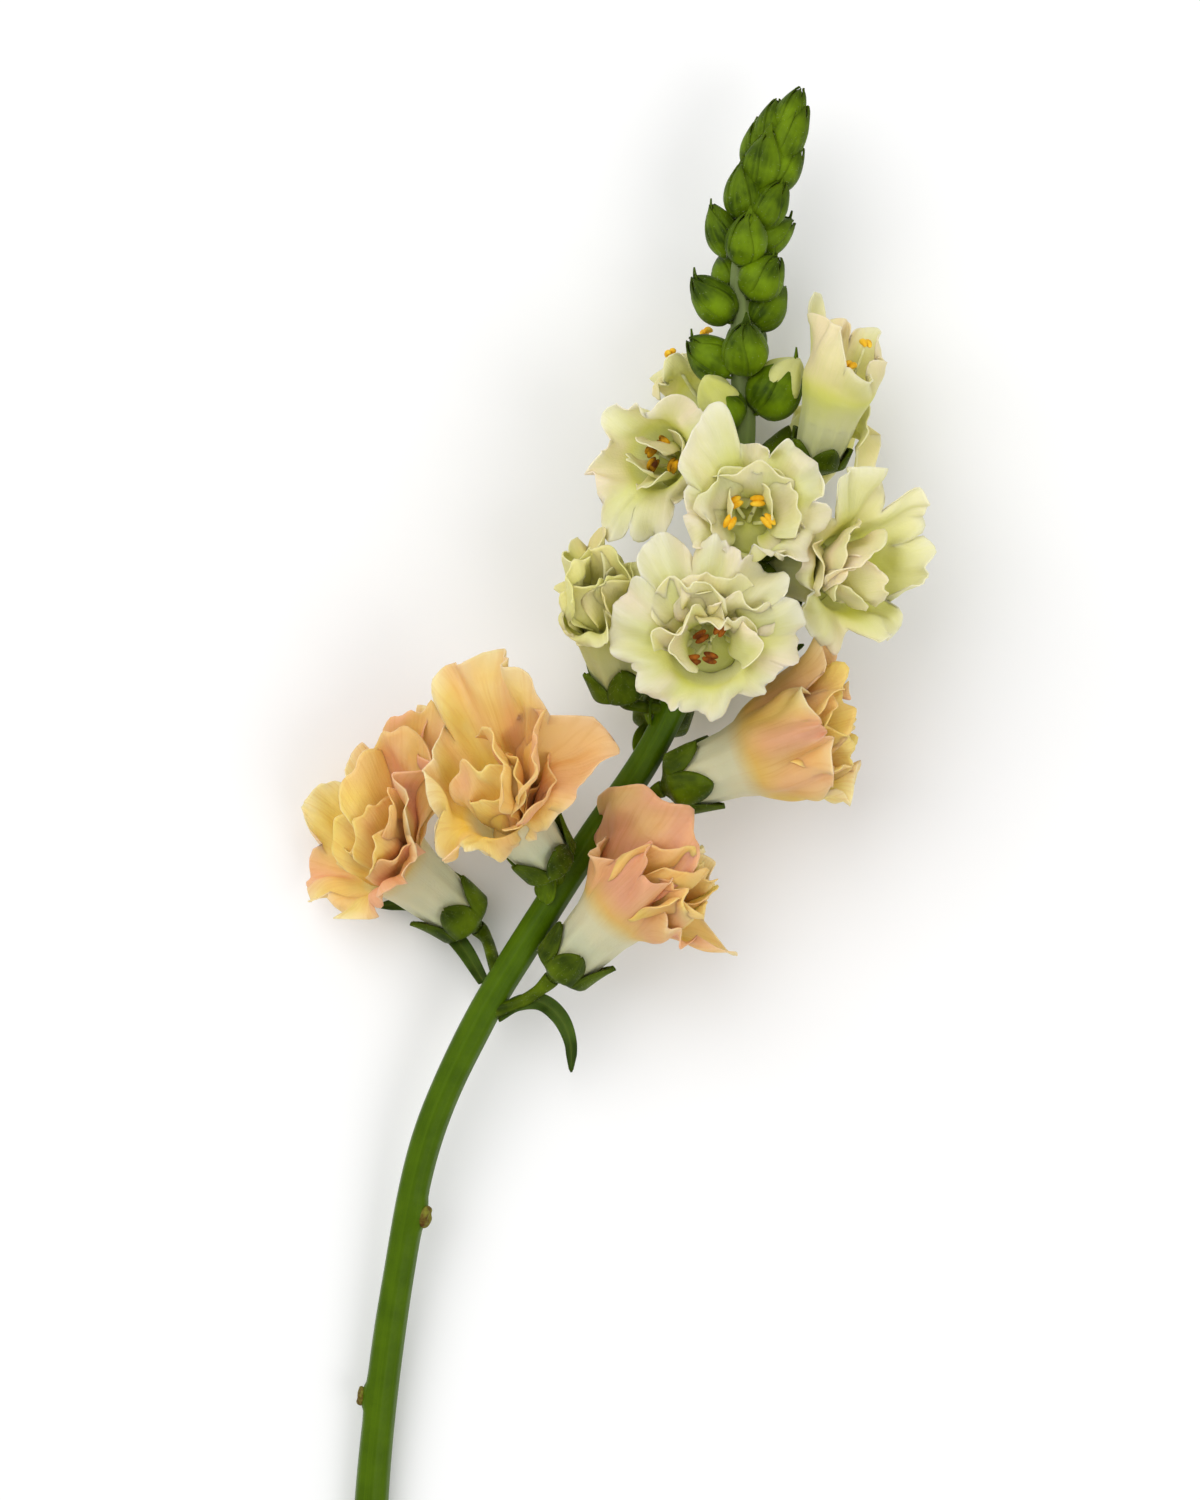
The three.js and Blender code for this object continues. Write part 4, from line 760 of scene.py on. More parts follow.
# %% Bloom table
BLOOMS = {
    "01": Bloom(
        mouth=(46.6, 70, 31), looks=(74, 20), lip=180, tube=15, bore=7.2, calyx=0.6, stalk=(52, 70),
        fresh=0.3,
        outer=[
            (43.4, 92, 29, 11, 1, 0.2, 0.6, 0.4, 0.16), (45.2, 85.8, 38.6, 16, 1.2, 0.15, 0.6, 0.6, 0.02),
            (54.6, 84, 30, 17, 1, 0.25, 0.8, 0.6, 0.04), (58, 77.4, 34, 10, 0.6, 0.1, 0.9, 0.1),
            (53.4, 74.6, 38.4, 11, 0.8, 0.2, 0.7, 0.2), (47.4, 86, 24, 14, 0, 0.3, 0.8, 0.3),
        ],
    ),
    "02": Bloom(
        mouth=(12.4, 57.6, 35.4), looks=(166, 52), lip=90, tube=16, bore=6.8, flare=24, notch=0.1,
        stalk=(54, -60),
        outer=[
            (6.4, 69.8, 42, 15, 0.5, 0.15, 0.8, 0.2, 0.12), (-2, 56, 40.6, 10, 1, 0.05, 1, 0.4),
            (0.4, 41.6, 36.4, 15, 3, -0.05, 1, 0), (12, 43.4, 36, 14, 3, 0, 1),
            (19.4, 69.6, 38, 15, 1, 0.15, 0.9), (19.5, 51, 38, 11, 1, 0.2, 0.9),
        ],
        inner=[
            (8, 61.5, 42, 6, 0, 0.4, 0.6, 10), (5.6, 57, 42, 5, 0.5, 0.4, 0.7, 0),
            (8.4, 52.6, 42, 6, 0.5, 0.4, 0.8, 0), (15, 62, 41, 6, 0, 0.4, 0.6, 0),
        ],
    ),
    "03": Bloom(
        mouth=(20, 72.6, 11), looks=(116, -8), lip=40, tube=14, bore=6, stalk=(62, -112), fresh=0.5,
        outer=[
            (13.4, 79, 22, 9, 0.6, 0.2, 0.8, 0.1), (18.6, 79.4, 18, 9, 0, 0.2, 1), (20, 80, 8, 9, 0, 0.2, 1),
            (12, 76, 6, 9, 0, 0.2, 1), (11, 71, 16, 9, 0.8, 0.2, 0.9),
        ],
    ),
    "04": Bloom(
        mouth=(29.4, 45.4, 44), looks=(70, 80), lip=92, tube=16, bore=8.2, flare=26, parted=5, stalk=(38, 12),
        outer=[
            (20.2, 66.4, 50, 22, 2.5, 0.1, 0.6, 0.05, 0.06, 0.16), (31, 61.4, 46, 12, 1, 0.1, 0.8),
            (41.6, 59.6, 48, 21, 2.6, -0.05, 0.9, 0, 0.16), (43.4, 41, 43.5, 13, 2, 0.05, 0.8),
            (31, 37.6, 48, 17, 0.5, 0.1, 1.1, 0.1, 0.06), (17.4, 43, 47, 13, 1.5, 0.1, 0.9, 0.4),
        ],
        inner=[
            (24, 55, 49.6, 12, -0.2, 0.25, 0.8, 12, 0), (32, 57, 49.8, 13, -0.2, 0.15, 0.9, -8, 0.05),
            (39.4, 51, 48.8, 11, -0.2, 0.25, 0.9, 0, 0.15), (39.6, 42.6, 46.4, 9, -0.5, 0.25, 0.9, 10, 0.3),
            (20.6, 45.6, 47.6, 9, -0.5, 0.2, 0.9, -12, 0.05), (33.6, 52, 46.6, 8, -1, 0.4, 0.8, 25, 0),
            (27, 51, 46.4, 7, -1, 0.4, 0.8, -30, 0),
        ],
    ),
    "05": Bloom(
        mouth=(21.2, 20.6, 45.5), looks=(-108, 79), lip=92, tube=18, bore=8.6, flare=24, notch=0.1,
        stalk=(17, 6),
        outer=[
            (11.6, 43.4, 48, 15, 1, 0.1, 0.9, 0.05, 0.12), (2, 26.4, 47, 21, 3, -0.05, 0.8, 0, 0.06),
            (9.4, 11, 45.6, 15, 3, 0, 0.7, 0, 0.12), (21.4, 6.8, 44.6, 14, 3, 0.05, 0.7, 0, 0.14),
            (31.4, 11.4, 45, 15, 3, -0.05, 0.7, 0, 0.12), (41, 25, 46, 17, 3, 0, 0.8, 0, 0.06),
            (35.6, 36.8, 46, 13, 2, 0, 1, 0.05, 0.1), (22.6, 42, 47, 13, 2, 0.1, 1, 0.1, 0.12),
        ],
        inner=[
            (16.4, 33.6, 53, 12, 0, 0.3, 1.3, 20, 0.3), (25, 35.4, 52.6, 13, 0.5, 0.2, 1.4, -15, 0.15),
            (31, 30, 52.6, 11, 0, 0.3, 1.2, -30, 0.35), (13.4, 25, 52.6, 10, 0.5, 0.3, 1.1, 25, 0.3),
            (21, 30.4, 52, 9, 0, 0.4, 1.4, 45, 0.4), (31.2, 21.4, 53, 8, 0.5, 0.2, 0.9, 10, 0.2),
            (26, 27, 53, 9, 0, 0.4, 1.3, -45, 0.35), (15.6, 19, 52, 7, 0, 0.35, 1, -20, 0.2),
        ],
    ),
    "06": Bloom(
        mouth=(0.6, 26, 36), looks=(106, 36), lip=50, tube=19, bore=7.8, flare=24, notch=0.24, stalk=(7, -62),
        fresh=0.6,
        outer=[
            (1.6, 43.4, 38, 13, 0.5, 0.1, 1.5, 0.1), (7, 37.6, 39, 11, 0.5, 0.1, 1.3, 0.1),
            (5.4, 24.6, 43, 10, 2, 0, 1.1, 0), (-3.2, 19.6, 44.5, 17, 4, -0.05, 0.9, 0, 0.04),
            (-8.2, 31.4, 41, 11, 1.5, 0, 1.4, 0), (-7, 39.6, 39, 12, 0.5, 0.1, 1.5, 0.1),
        ],
        inner=[
            (-4.4, 38, 44, 12, 0, 0.2, 1.4, 20, 0.1), (1, 40.4, 43, 12, 0, 0.2, 1.4, -20, 0.2),
            (4.6, 35.6, 43.5, 11, 0, 0.2, 1.4, 10, 0.2), (-3, 33.6, 46, 9, 0, 0.3, 1.2, -30, 0.2),
            (1.6, 34.4, 46, 9, 0, 0.3, 1.2, 30, 0.3), (-5.8, 34.6, 42, 10, 0, 0.25, 1.3, 0, 0),
        ],
    ),
    "07": Bloom(
        mouth=(46.6, 35, 35.5), looks=(-4, 42), lip=95, tube=18, bore=8, flare=26, parted=5, notch=0.3,
        stalk=(34, 62), fresh=0.2,
        outer=[
            (53, 57, 42, 25, 2, 0.05, 0.8, 0, 0.06), (65.2, 49.6, 39, 15, 1.5, 0.05, 0.9, 0, 0.04, -0.1, 0.5),
            (66.4, 35.8, 41, 11, 1, 0, 1.1, 0, 0.1, 0, 0.55),
            (58.6, 22.6, 38, 15, 2.5, -0.05, 1, 0, 0.08, 0, 0.4),
            (43.6, 22.4, 36, 13, 2, 0, 1.1, 0, 0.1, 0, 0.3), (41.6, 43, 42, 12, 1, 0.2, 0.9),
        ],
        inner=[
            (55.6, 40, 48, 13, 0, 0.25, 0.9, 10, 0.5), (50, 42.4, 47.5, 11, 0, 0.3, 0.9, -10, 0.45),
            (57.4, 33, 47, 10, 0, 0.25, 1, 0, 0.45), (43.6, 36.6, 46, 9, 0.5, 0.3, 1, 0, 0.2),
            (47, 31.4, 47.5, 4, 0, 0.5, 0.6, 30, 0), (52.4, 29.4, 45, 9, 0, 0.3, 0.9, 0, 0.3),
            (50.6, 37, 48, 8, 0, 0.4, 0.9, 40, 0.4),
        ],
    ),
    "08": Bloom(
        mouth=(29.4, -1.6, 28), looks=(20, 12), lip=110, tube=17, bore=8.4, flare=38, parted=4,
        stalk=(-11, 82),
        outer=[
            (45, 4, 42, 26, 2, 0.1, 1.3, 0.5, 0.2), (46.4, 22.4, 33, 18, 1, 0.15, 1.1, 0.35, 0.2),
            (50.6, 14, 30, 13, 0, 0.2, 1.3, 0.2), (51.6, 4, 22, 13, 0, 0.2, 1.3, 0.1),
            (51.8, -8.8, 30, 15, 2, 0.05, 1.2, 0), (43, 12, 16, 18, 0, 0.3, 1, 0.2),
            (45, -5, 17, 14, 0, 0.3, 1, 0.2),
        ],
        inner=[
            (50.8, 0.6, 36, 13, 0, 0.25, 1, 20, 0), (51, 7.6, 35, 13, 0, 0.25, 1.1, -20, 0.1),
            (49, 15.4, 36, 12, 0, 0.3, 1.1, 0, 0.3), (50.6, -4, 33, 12, 0, 0.3, 1, 0, 0),
            (51.4, 4, 28, 12, 0, 0.25, 1.1, 10, 0), (47, 10, 38, 10, 0, 0.3, 1, 0, 0.3),
        ],
    ),
    "09": Bloom(
        mouth=(-18.4, -11.6, 37), looks=(128, 40), lip=88, tube=19, bore=8, flare=26, parted=7,
        stalk=(-27.5, -28),
        outer=[
            (-20, 18.8, 46, 28, 2, 0.02, 0.85, 0.35, 0.02, 0),
            (1.6, -1.6, 44.5, 20, 1.5, 0, 0.4, 0.6, -0.02, -0.3),
            (-36.2, -4.4, 43, 14, 1.5, 0.1, 0.9, 0.05, 0.2), (-33.4, -22, 35.5, 14, 2, 0, 1, 0.2),
            (-18.4, -20.8, 38, 14, 1.5, 0.1, 1, 0.1), (-26.6, -20.4, 41, 13, 1.5, 0.1, 0.9, 0),
        ],
        inner=[
            (-12, 7, 50, 18, 0, 0.3, 0.8, 8, 0.5), (-21.6, 2.4, 51, 14, 0, 0.35, 0.9, -15, 0.3),
            (-27, -3, 48.5, 12, 0, 0.3, 1, 10, 0.1), (-9.6, -5.6, 48, 13, 0, 0.3, 0.9, 0, 0.5),
            (-23.6, -9.6, 46.5, 10, 0, 0.3, 1, 20, 0), (-17, -2, 50, 10, 0, 0.4, 0.9, -35, 0.3),
            (-14.4, -10.6, 46, 10, 0, 0.3, 0.9, 0, 0.2),
        ],
    ),
    "10": Bloom(
        mouth=(-40.6, -23, 15), looks=(140, 24), lip=70, tube=21, calyx=1.1, bore=8, flare=32, parted=4,
        stalk=(-46, -64),
        outer=[
            (-33.6, 9, 22, 20, 1, 0.1, 0.9, 0.6), (-36.6, -2.4, 33, 15, 2.5, 0.2, 0.8, 0.6),
            (-41, -28.6, 28, 14, 3, 0.1, 0.9, 0.75), (-49.6, -34, 18, 13, 2, 0.1, 1, 0.5),
            (-59.6, -27.4, 9, 16, 1.5, 0, 1, 0.3), (-58.4, -9, 13, 18, 1.5, 0, 0.9, 0.05),
            (-49, 1, 9, 14, 0, 0.1, 1, 0.2), (-36, -2, 9, 18, 0, 0.2, 1, 0.3),
        ],
        inner=[
            (-34.4, 8.6, 27, 14, 0, 0.1, 0.9, -70, 0.6), (-40.8, 4.4, 30, 14, 0, 0.1, 0.8, -70, 0.5),
            (-47.6, -1, 29.6, 15, 1, 0.2, 0.7, 50, 0.2), (-40.6, -8, 34, 12, 0, 0.35, 0.8, 10, 0.4),
            (-52.6, -13, 26, 12, 0, 0.25, 1, 0, 0), (-47.6, -12.4, 31, 11, 0, 0.3, 1, 20, 0.1),
            (-44, -17, 33, 10, 0, 0.35, 0.9, -20, 0.3), (-51, -20.4, 24, 11, 0, 0.25, 1, 0, 0.1),
            (-42.6, -22, 32, 10, 0, 0.3, 0.9, 30, 0.6),
        ],
    ),
    "11": Bloom(
        mouth=(2.6, -32.6, 26.5), looks=(47, 18), lip=110, tube=17.5, bore=8, flare=34, parted=6,
        stalk=(-52, 66),
        outer=[
            (9.6, -18.6, 40.5, 18, 2.5, 0.1, 0.7, 0.75, 0.1), (-0.4, -20.4, 36, 14, 2, 0.2, 0.7, 0.8, 0.2),
            (12.4, -26, 42.5, 18, 2.5, 0.2, 0.9, 0.7, 0.15), (15.6, -37.4, 36, 16, 2, 0.2, 0.9, 0.8, 0.1),
            (27.4, -41.6, 26, 11, 1, 0.05, 0.6, 0.3), (23.4, -21.4, 28, 12, 0, 0.2, 1.1, 0.1),
            (14, -15, 17, 17, 0, 0.3, 1, 0.4),
        ],
        inner=[
            (13, -9.2, 37, 21, 1.5, 0.1, 0.9, -75, 0.85), (21.6, -24.6, 37, 14, 0, 0.3, 1, 10, 0.1),
            (18, -19.6, 39, 14, 0, 0.3, 1, -20, 0.2), (20.8, -32, 37, 13, 0, 0.3, 1, 0, 0.1),
            (23, -28.6, 31, 12, 0, 0.3, 1.1, 20, 0), (17, -29, 40.5, 11, 0, 0.35, 0.9, 40, 0.25),
            (17, -13, 34, 13, 1, 0.2, 0.9, -60, 0.6),
        ],
    ),
    "12": Bloom(
        mouth=(43.6, 63, 11), looks=(38, -20), lip=110, tube=15, bore=6.4, stalk=(57, 112), fresh=0.5,
        outer=[
            (54.6, 64.6, 29, 17, 1, 0.1, 0.7, 0.1, 0.1), (52.4, 53.4, 35.4, 20, 3, 0.15, 0.7, 0, 0.1),
            (52, 68, 8, 10, 0, 0.2, 1), (46, 55, 5, 11, 0, 0.2, 1), (42, 70, 14, 9, 0, 0.2, 1),
        ],
    ),
    "13": Bloom(
        mouth=(15, 18, 10), looks=(78, -26), lip=70, tube=16, bore=7, stalk=(1, -145), fresh=0.6,
        outer=[
            (13, 31, 16, 12, 0, 0.1, 1.2), (26, 26, 14, 12, 0, 0.1, 1.2), (4, 25, 12, 12, 0, 0.1, 1.2),
            (24, 18, 4, 12, 0, 0.1, 1.2), (10, 20, 3, 12, 0, 0.1, 1.2),
        ],
    ),
}
PEACH_BLOOMS = ("08", "09", "10", "11")
print("petals:", sum(len(bloom.outer + bloom.inner) for bloom in BLOOMS.values()))

# %% [markdown]
# A petal follows a spine, which is a cubic curve from its foot to its tip. At each place along
# the spine the petal lies to both sides, at right angles to the spine and to the way that its
# face looks. The face turns with the spine: it looks to the middle of the flower where the
# petal stands, and forward where it lies flat.

# %% Spine and face of a petal
def cubic(foot, first, second, tip, share):
    """Places and headings at shares of the way along a cubic curve."""
    t = share[:, None]
    place = foot * (1 - t) ** 3 + 3 * first * t * (1 - t) ** 2 + 3 * second * t**2 * (1 - t) + tip * t**3
    heading = 3 * ((first - foot) * (1 - t) ** 2 + 2 * (second - first) * t * (1 - t) + (tip - second) * t**2)
    return place, unit(heading)


def spine(foot, start, tip, out, arch):
    """A petal's curve, as a function of the share of the way, and its reach in millimetres."""
    reach = np.linalg.norm(tip - foot)
    first = foot + start * reach * 0.36
    second = foot + (tip - foot) * 0.64 + out * arch
    return lambda share: cubic(foot, first, second, tip, share), reach


def face_axes(heading, out, spoke, twist):
    """Which way the face looks, and the way across it, twisted by degrees."""
    look = out * (heading @ spoke)[:, None] - spoke * (heading @ out)[:, None]
    look = unit(look - heading * np.sum(look * heading, axis=1, keepdims=True))
    across = np.cross(look, heading)
    turn = np.radians(twist)
    return turned(look, across, turn), turned(across, -look, turn)

# %% [markdown]
# The rim of such a petal has more length than its middle has room for, so it folds into
# ruffles. They are a sum of waves that run mostly across the petal and grow towards its edges.
# Waves of several sizes, each with its own seeded direction, look grown and not drawn. The
# long ones reach far into the petal, and the short ones stay close to its rim.

# %% Ruffles
RUFFLE_WAVES = [(9.5, 0.8, 0.7, 1.2), (6, 0.6, 0.5, 2), (3.6, 0.4, 0.22, 4), (2, 0.3, 0.09, 5)]


def ruffle(across, along, wide, reach, seed):
    """Smooth uneven waves over a petal, about -1 to 1; rows are length, slant, height, power."""
    draw = random.Random(seed)
    edge = np.clip(np.maximum(along, (0.2 + 0.8 * np.abs(across)) * ease(along * 1.6)), 0, 1)
    total = np.zeros(len(across))
    for length, slant, height, power in RUFFLE_WAVES:
        waves = 0
        for _ in range(2):
            size = length * draw.uniform(0.8, 1.25)
            wave = across * wide / 2 + draw.uniform(-slant, slant) * along * reach
            waves = waves + np.sin(wave * 2 * math.pi / size + draw.uniform(0, 2 * math.pi))
        total += height * waves * edge**power
    return total


def notched(across, along, rounding, seed):
    """Share of the spine that each corner reaches: the rim is rounded and a little uneven."""
    draw = random.Random(seed + 1)
    shift = draw.uniform(-0.12, 0.12)
    reach = along * (1 - rounding * np.abs(across + shift) ** 2.3)
    bays = 0
    for _ in range(5):
        bays += draw.uniform(0.3, 1) * np.sin(across * draw.uniform(4, 15) + draw.uniform(0, 6))
    return np.clip(reach * (1 + 0.022 * bays * along**3), 0, 1.06)

# %% [markdown]
# The outer petals are one grown funnel with the tube. Around the throat's line, the funnel's
# profile passes from one row's spine to the next, so it meets every tip, and its rim falls back
# in the clefts between the tips. A petal is the sheet between two clefts. Its edges follow
# the mean of its own spine and its neighbour's, as the neighbour's edges do, so they can be
# welded.

# %% Outer petals
TUBE_PART = 0.24  # share of the sheet's rows that form the tube
OUTER_ROWS = 42
COLUMNS_PER_MM = 1.45
AHEAD = 0.04  # step along a petal by which its slope is found
TUBE_RIBS = (0.16, 10)  # height and number of the ribs around a tube
RIM_WAVES = [
    (17, 0.8, 1.35, 1.6), (10, 0.8, 1.05, 1.4), (6, 0.6, 0.76, 2.2), (3.6, 0.4, 0.38, 4), (2.4, 0.3, 0.18, 6),
]
BLUSH_WAVES = [(23, 0.3, 0.5, 1), (11, 0.3, 0.4, 1)]
SCALLOPS = [(9, 0.8), (5, 0.45), (2.8, 0.3)]  # length and height


class Petal:
    """The spine of an outer petal, and how far ahead and outward it runs."""

    def __init__(self, bloom, row):
        row = row + (BLUSH, ROUNDING, 0.0, bloom.notch)[len(row) - 7:]
        x, y, z, self.wide, arch, cup, self.depth, self.flush, self.rounding, self.skew, self.notch = row
        self.curl = cup * self.wide
        tip, self.around, spoke = bloom.aim(x, y, z)
        start = turned(bloom.out, spoke, math.radians(bloom.flare))
        line, self.reach = spine(bloom.mouth + spoke * bloom.bore * MOUTH_SHARE, start, tip, bloom.out, arch)
        self.steps = np.linspace(0, 1.12, 60)
        way = line(self.steps)[0] - bloom.mouth
        self.ahead, self.outward = way @ bloom.out, way @ spoke
        self.weight = self.wide / max(np.dot(tip - bloom.mouth, spoke), 5)

# %% [markdown]
# Neighbouring petals have to agree at their clefts, or the limb would tear there. So the waves
# aren't worked out petal by petal. They run once around the whole rim, and each petal takes
# its part of them.

# %% The rim of a limb
class Limb:
    """All outer petals of a bloom, and the waves that run around their common rim."""

    def __init__(self, bloom, number):
        self.petals = sorted((Petal(bloom, row) for row in bloom.outer), key=lambda petal: petal.around)
        self.edges = []  # the angle of the cleft after each petal
        for own, after in zip(self.petals, self.petals[1:] + self.petals[:1]):
            gap = (after.around - own.around) % 360
            self.edges.append(own.around + gap * own.weight / (own.weight + after.weight))
        angles = [petal.around for petal in self.petals]
        radii = [max(petal.outward[-8], 6) for petal in self.petals]
        self.turns = np.linspace(0, 360, 721)
        radius = np.interp(self.turns, angles, radii, period=360)
        self.rim = np.concatenate([[0], np.cumsum((radius[1:] + radius[:-1]) / 2 * math.radians(0.5))])
        self.number = number

    def way(self, turn):
        """Share of the way around the rim at an angle in degrees."""
        return np.interp(turn % 360, self.turns, self.rim) / self.rim[-1]

    def waves(self, turn, lobe, rows, shift=0):
        """Smooth waves around the rim, in whole numbers, so the last one meets the first."""
        draw = random.Random(self.number * 10 + shift)
        total = np.zeros(len(turn))
        for length, slant, height, power in rows:
            for _ in range(2):
                count = max(3, round(self.rim[-1] / (length * draw.uniform(0.82, 1.22))))
                lean = draw.uniform(-slant, slant) * 9
                wave = 2 * math.pi * count * self.way(turn) + lean * lobe + draw.uniform(0, 2 * math.pi)
                total += height * np.sin(wave) * lobe**power
        return total

    def scallops(self, turn):
        """Round bays with narrow notches between them, 0 to about -2 mm."""
        draw = random.Random(self.number * 10 + 3)
        way = self.way(turn)
        total = np.zeros(len(turn))
        for length, height in SCALLOPS:
            count = round(self.rim[-1] / (length * draw.uniform(0.85, 1.2)))
            bend = 0.5 * np.sin(2 * math.pi * (3 * way + draw.random()))
            strong = 0.55 + 0.45 * np.sin(2 * math.pi * (4 * way + draw.random()))
            total -= height * strong * (1 - np.abs(np.sin(math.pi * count * way + bend + draw.uniform(0, 3))))
        return total

# %% [markdown]
# The first rows of a petal's sheet are its part of the tube, with faint ribs, and the rest is
# its lobe. The lobe lies on the profile of the funnel and is lifted and swayed by the waves.

# %% One petal of a limb
def outer_petal(bloom, limb, index):
    own = limb.petals[index]
    before, after = limb.petals[index - 1], limb.petals[(index + 1) % len(limb.petals)]
    spans = (own.around - limb.edges[index - 1]) % 360, (limb.edges[index] - own.around) % 360

    def meet(across, word, at=None):
        """A petal's value, which changes to the mean of both neighbours' values at the edges."""
        def value(petal):
            kept = getattr(petal, word)
            return kept if at is None else np.interp(at, petal.steps, kept)

        shared = 0.5 * np.abs(across) ** bloom.parted
        return value(own) * (1 - shared) + shared * np.where(across < 0, value(before), value(after))

    def parts(across, along):
        tube = np.clip(along / TUBE_PART, 0, 1)
        lobe = np.clip((along - TUBE_PART) / (1 - TUBE_PART), 0, 1)
        turn = own.around + across * np.where(across < 0, *spans)
        free = lobe**1.5
        fall = meet(across, "rounding") * np.abs(across) ** 2.3 + meet(across, "notch") * np.abs(across) ** 9
        skew = own.skew * 2.6 * across * (1 - across**2)
        bays = limb.scallops(turn) * meet(across, "depth") / own.reach * lobe**3
        return tube, lobe, turn, np.clip(lobe * (1 + free * (skew - fall)) + free * bays, 0, 1.12)

    def place(across, along):
        tube, lobe, turn, reach = parts(across, along)
        angle = np.radians(turn)
        radial, around = turned(bloom.up, bloom.side, angle), turned(bloom.side, -bloom.up, angle)
        ahead, outward = meet(across, "ahead", reach), meet(across, "outward", reach)
        rise = meet(across, "ahead", reach + AHEAD) - ahead
        run = meet(across, "outward", reach + AHEAD) - outward
        look = unit(bloom.out * (run + 1e-4)[:, None] - radial * rise[:, None])
        depth = meet(across, "depth")
        low = bloom.mouth + bloom.out * ahead[:, None] + radial * outward[:, None]
        lift = depth * limb.waves(turn, lobe, RIM_WAVES) + 0.5 * across**2 * lobe * meet(across, "curl")
        lift = lift + 0.6 * crumple(low, limb.number, 10) * ease(lobe * 3)
        sway = 0.22 * depth * limb.waves(turn, lobe, RIM_WAVES, 7)
        free = low + look * lift[:, None] + around * sway[:, None]
        height, count = TUBE_RIBS
        radius = bloom.tube_radius(tube) + height * np.cos(angle * count) * np.sin(math.pi * tube)
        in_tube = bloom.mouth + bloom.out * ((tube - 1) * bloom.tube)[:, None] + radial * radius[:, None]
        return np.where(lobe[:, None] > 0, free, in_tube)

    def marks(across, along):
        tube, lobe, turn, reach = parts(across, along)
        patches = limb.waves(turn, 0.4 + 0.6 * lobe, BLUSH_WAVES, 5)
        blush = np.clip(meet(across, "flush") + 0.42 * patches, 0, 0.9) * ease(lobe * 2.5)
        return {"depth": np.where(lobe > 0, lobe, tube - 1), "blush": blush, "fresh": bloom.fresh}

    return sheet("petal", max(12, round(own.wide * COLUMNS_PER_MM)), OUTER_ROWS, place, marks)

# %% [markdown]
# The petals in the throat are free down to their feet. They narrow to a claw there, stand more
# upright, and are cupped and twisted more.

# %% Inner petals
INNER_GRID = (22, 30)
FLOOR_GRID = (28, 6)
INNER_ROUNDING = 0.28
FULLNESS = 1.28  # the rounded corners take some of the width away


def inner_petal(bloom, row, seed):
    x, y, z, wide, arch, cup, depth, twist, flushed = (row + (BLUSH,))[:9]
    tip, _, spoke = bloom.aim(x, y, z)
    foot = bloom.mouth + bloom.out * INNER_FOOT + spoke * bloom.bore * INNER_SHARE
    line, reach_mm = spine(foot, unit(bloom.out + spoke * 0.1), tip, bloom.out, arch)

    def place(across, along):
        reach = notched(across, along, INNER_ROUNDING, seed)
        centre, heading = line(reach)
        look, sideways = face_axes(heading, bloom.out, spoke, twist * reach)
        half = FULLNESS * wide / 2 * (0.3 + 0.7 * np.sin(math.pi / 2 * np.clip(reach / 0.7, 0, 1)))
        waves = depth * ruffle(across, along, wide, reach_mm, seed)
        lift = waves + cup * wide / 2 * across**2 + 0.4 * crumple(centre, seed, 8)
        fine = 0.3 * depth * ruffle(across + 0.4, along, wide, reach_mm, seed + 7)
        return centre + sideways * (across * half + fine)[:, None] + look * lift[:, None]

    def marks(across, along):
        flat = np.stack([across * wide / 2, along * reach_mm, across * 0], axis=1)
        blush = np.clip(flushed + 0.35 * crumple(flat, seed + 9, 9), 0, 0.9) * ease(along * 1.6)
        depth_mark = 0.06 + 0.66 * np.maximum(along, 0.7 * np.abs(across) ** 4)
        return {"depth": depth_mark, "blush": blush, "fresh": bloom.fresh}

    return sheet("petaloid", *INNER_GRID, place, marks)


def throat_floor(bloom):
    """The bottom of the throat, which closes the tube under the inner petals."""
    def place(across, along):
        forward = INNER_FOOT - 1.2 + 1.0 * (1 - along) ** 2
        return bloom.points(forward, along * bloom.tube_radius(0.66) * 0.98, across * 180)

    def marks(across, along):
        return {"depth": 0.14, "blush": 0.0, "fresh": 0.0}

    return sheet("floor", *FLOOR_GRID, place, marks)

# %% [markdown]
# Now each bloom is put together. The petals of the limb are welded into one funnel, and the
# inner petals and the floor of the throat join it. Solidify gives the sheets their thickness.
# It is applied at once, because the hairs will take root on the finished skin.

# %% Blooms put together
for name, bloom in BLOOMS.items():
    number = int(name)
    limb = Limb(bloom, number)
    funnel = fuse("limb", [outer_petal(bloom, limb, index) for index in range(len(limb.petals))])
    weld(funnel, 0.02)
    inner = [inner_petal(bloom, row, 100 * number + 50 + index) for index, row in enumerate(bloom.inner)]
    ground = throat_floor(bloom)
    weld(ground)
    corolla = fuse(f"petals_{name}", [funnel, ground] + inner)
    finish, slot = (peach, "peach_petals") if name in PEACH_BLOOMS else (cream, "cream_petals")
    complete(corolla, PETAL, finish, slot, f"corolla_{name}")

# %% [markdown]
# ## Calyx and stalk
#
# Five broad sepals hug the foot of each tube. They overlap at their edges, have a keel, and
# their tips stand off. Below them a short stalk bends to the stem.

# %% Sepals and stalks
SEPAL_LENGTH = 9.4
SEPAL_HALF_ANGLE = 44
CUP = 2.4
STALK_RADIUS = 1.05
SEPAL_GRID = (14, 20)
STALK_GRID = (16, 24)


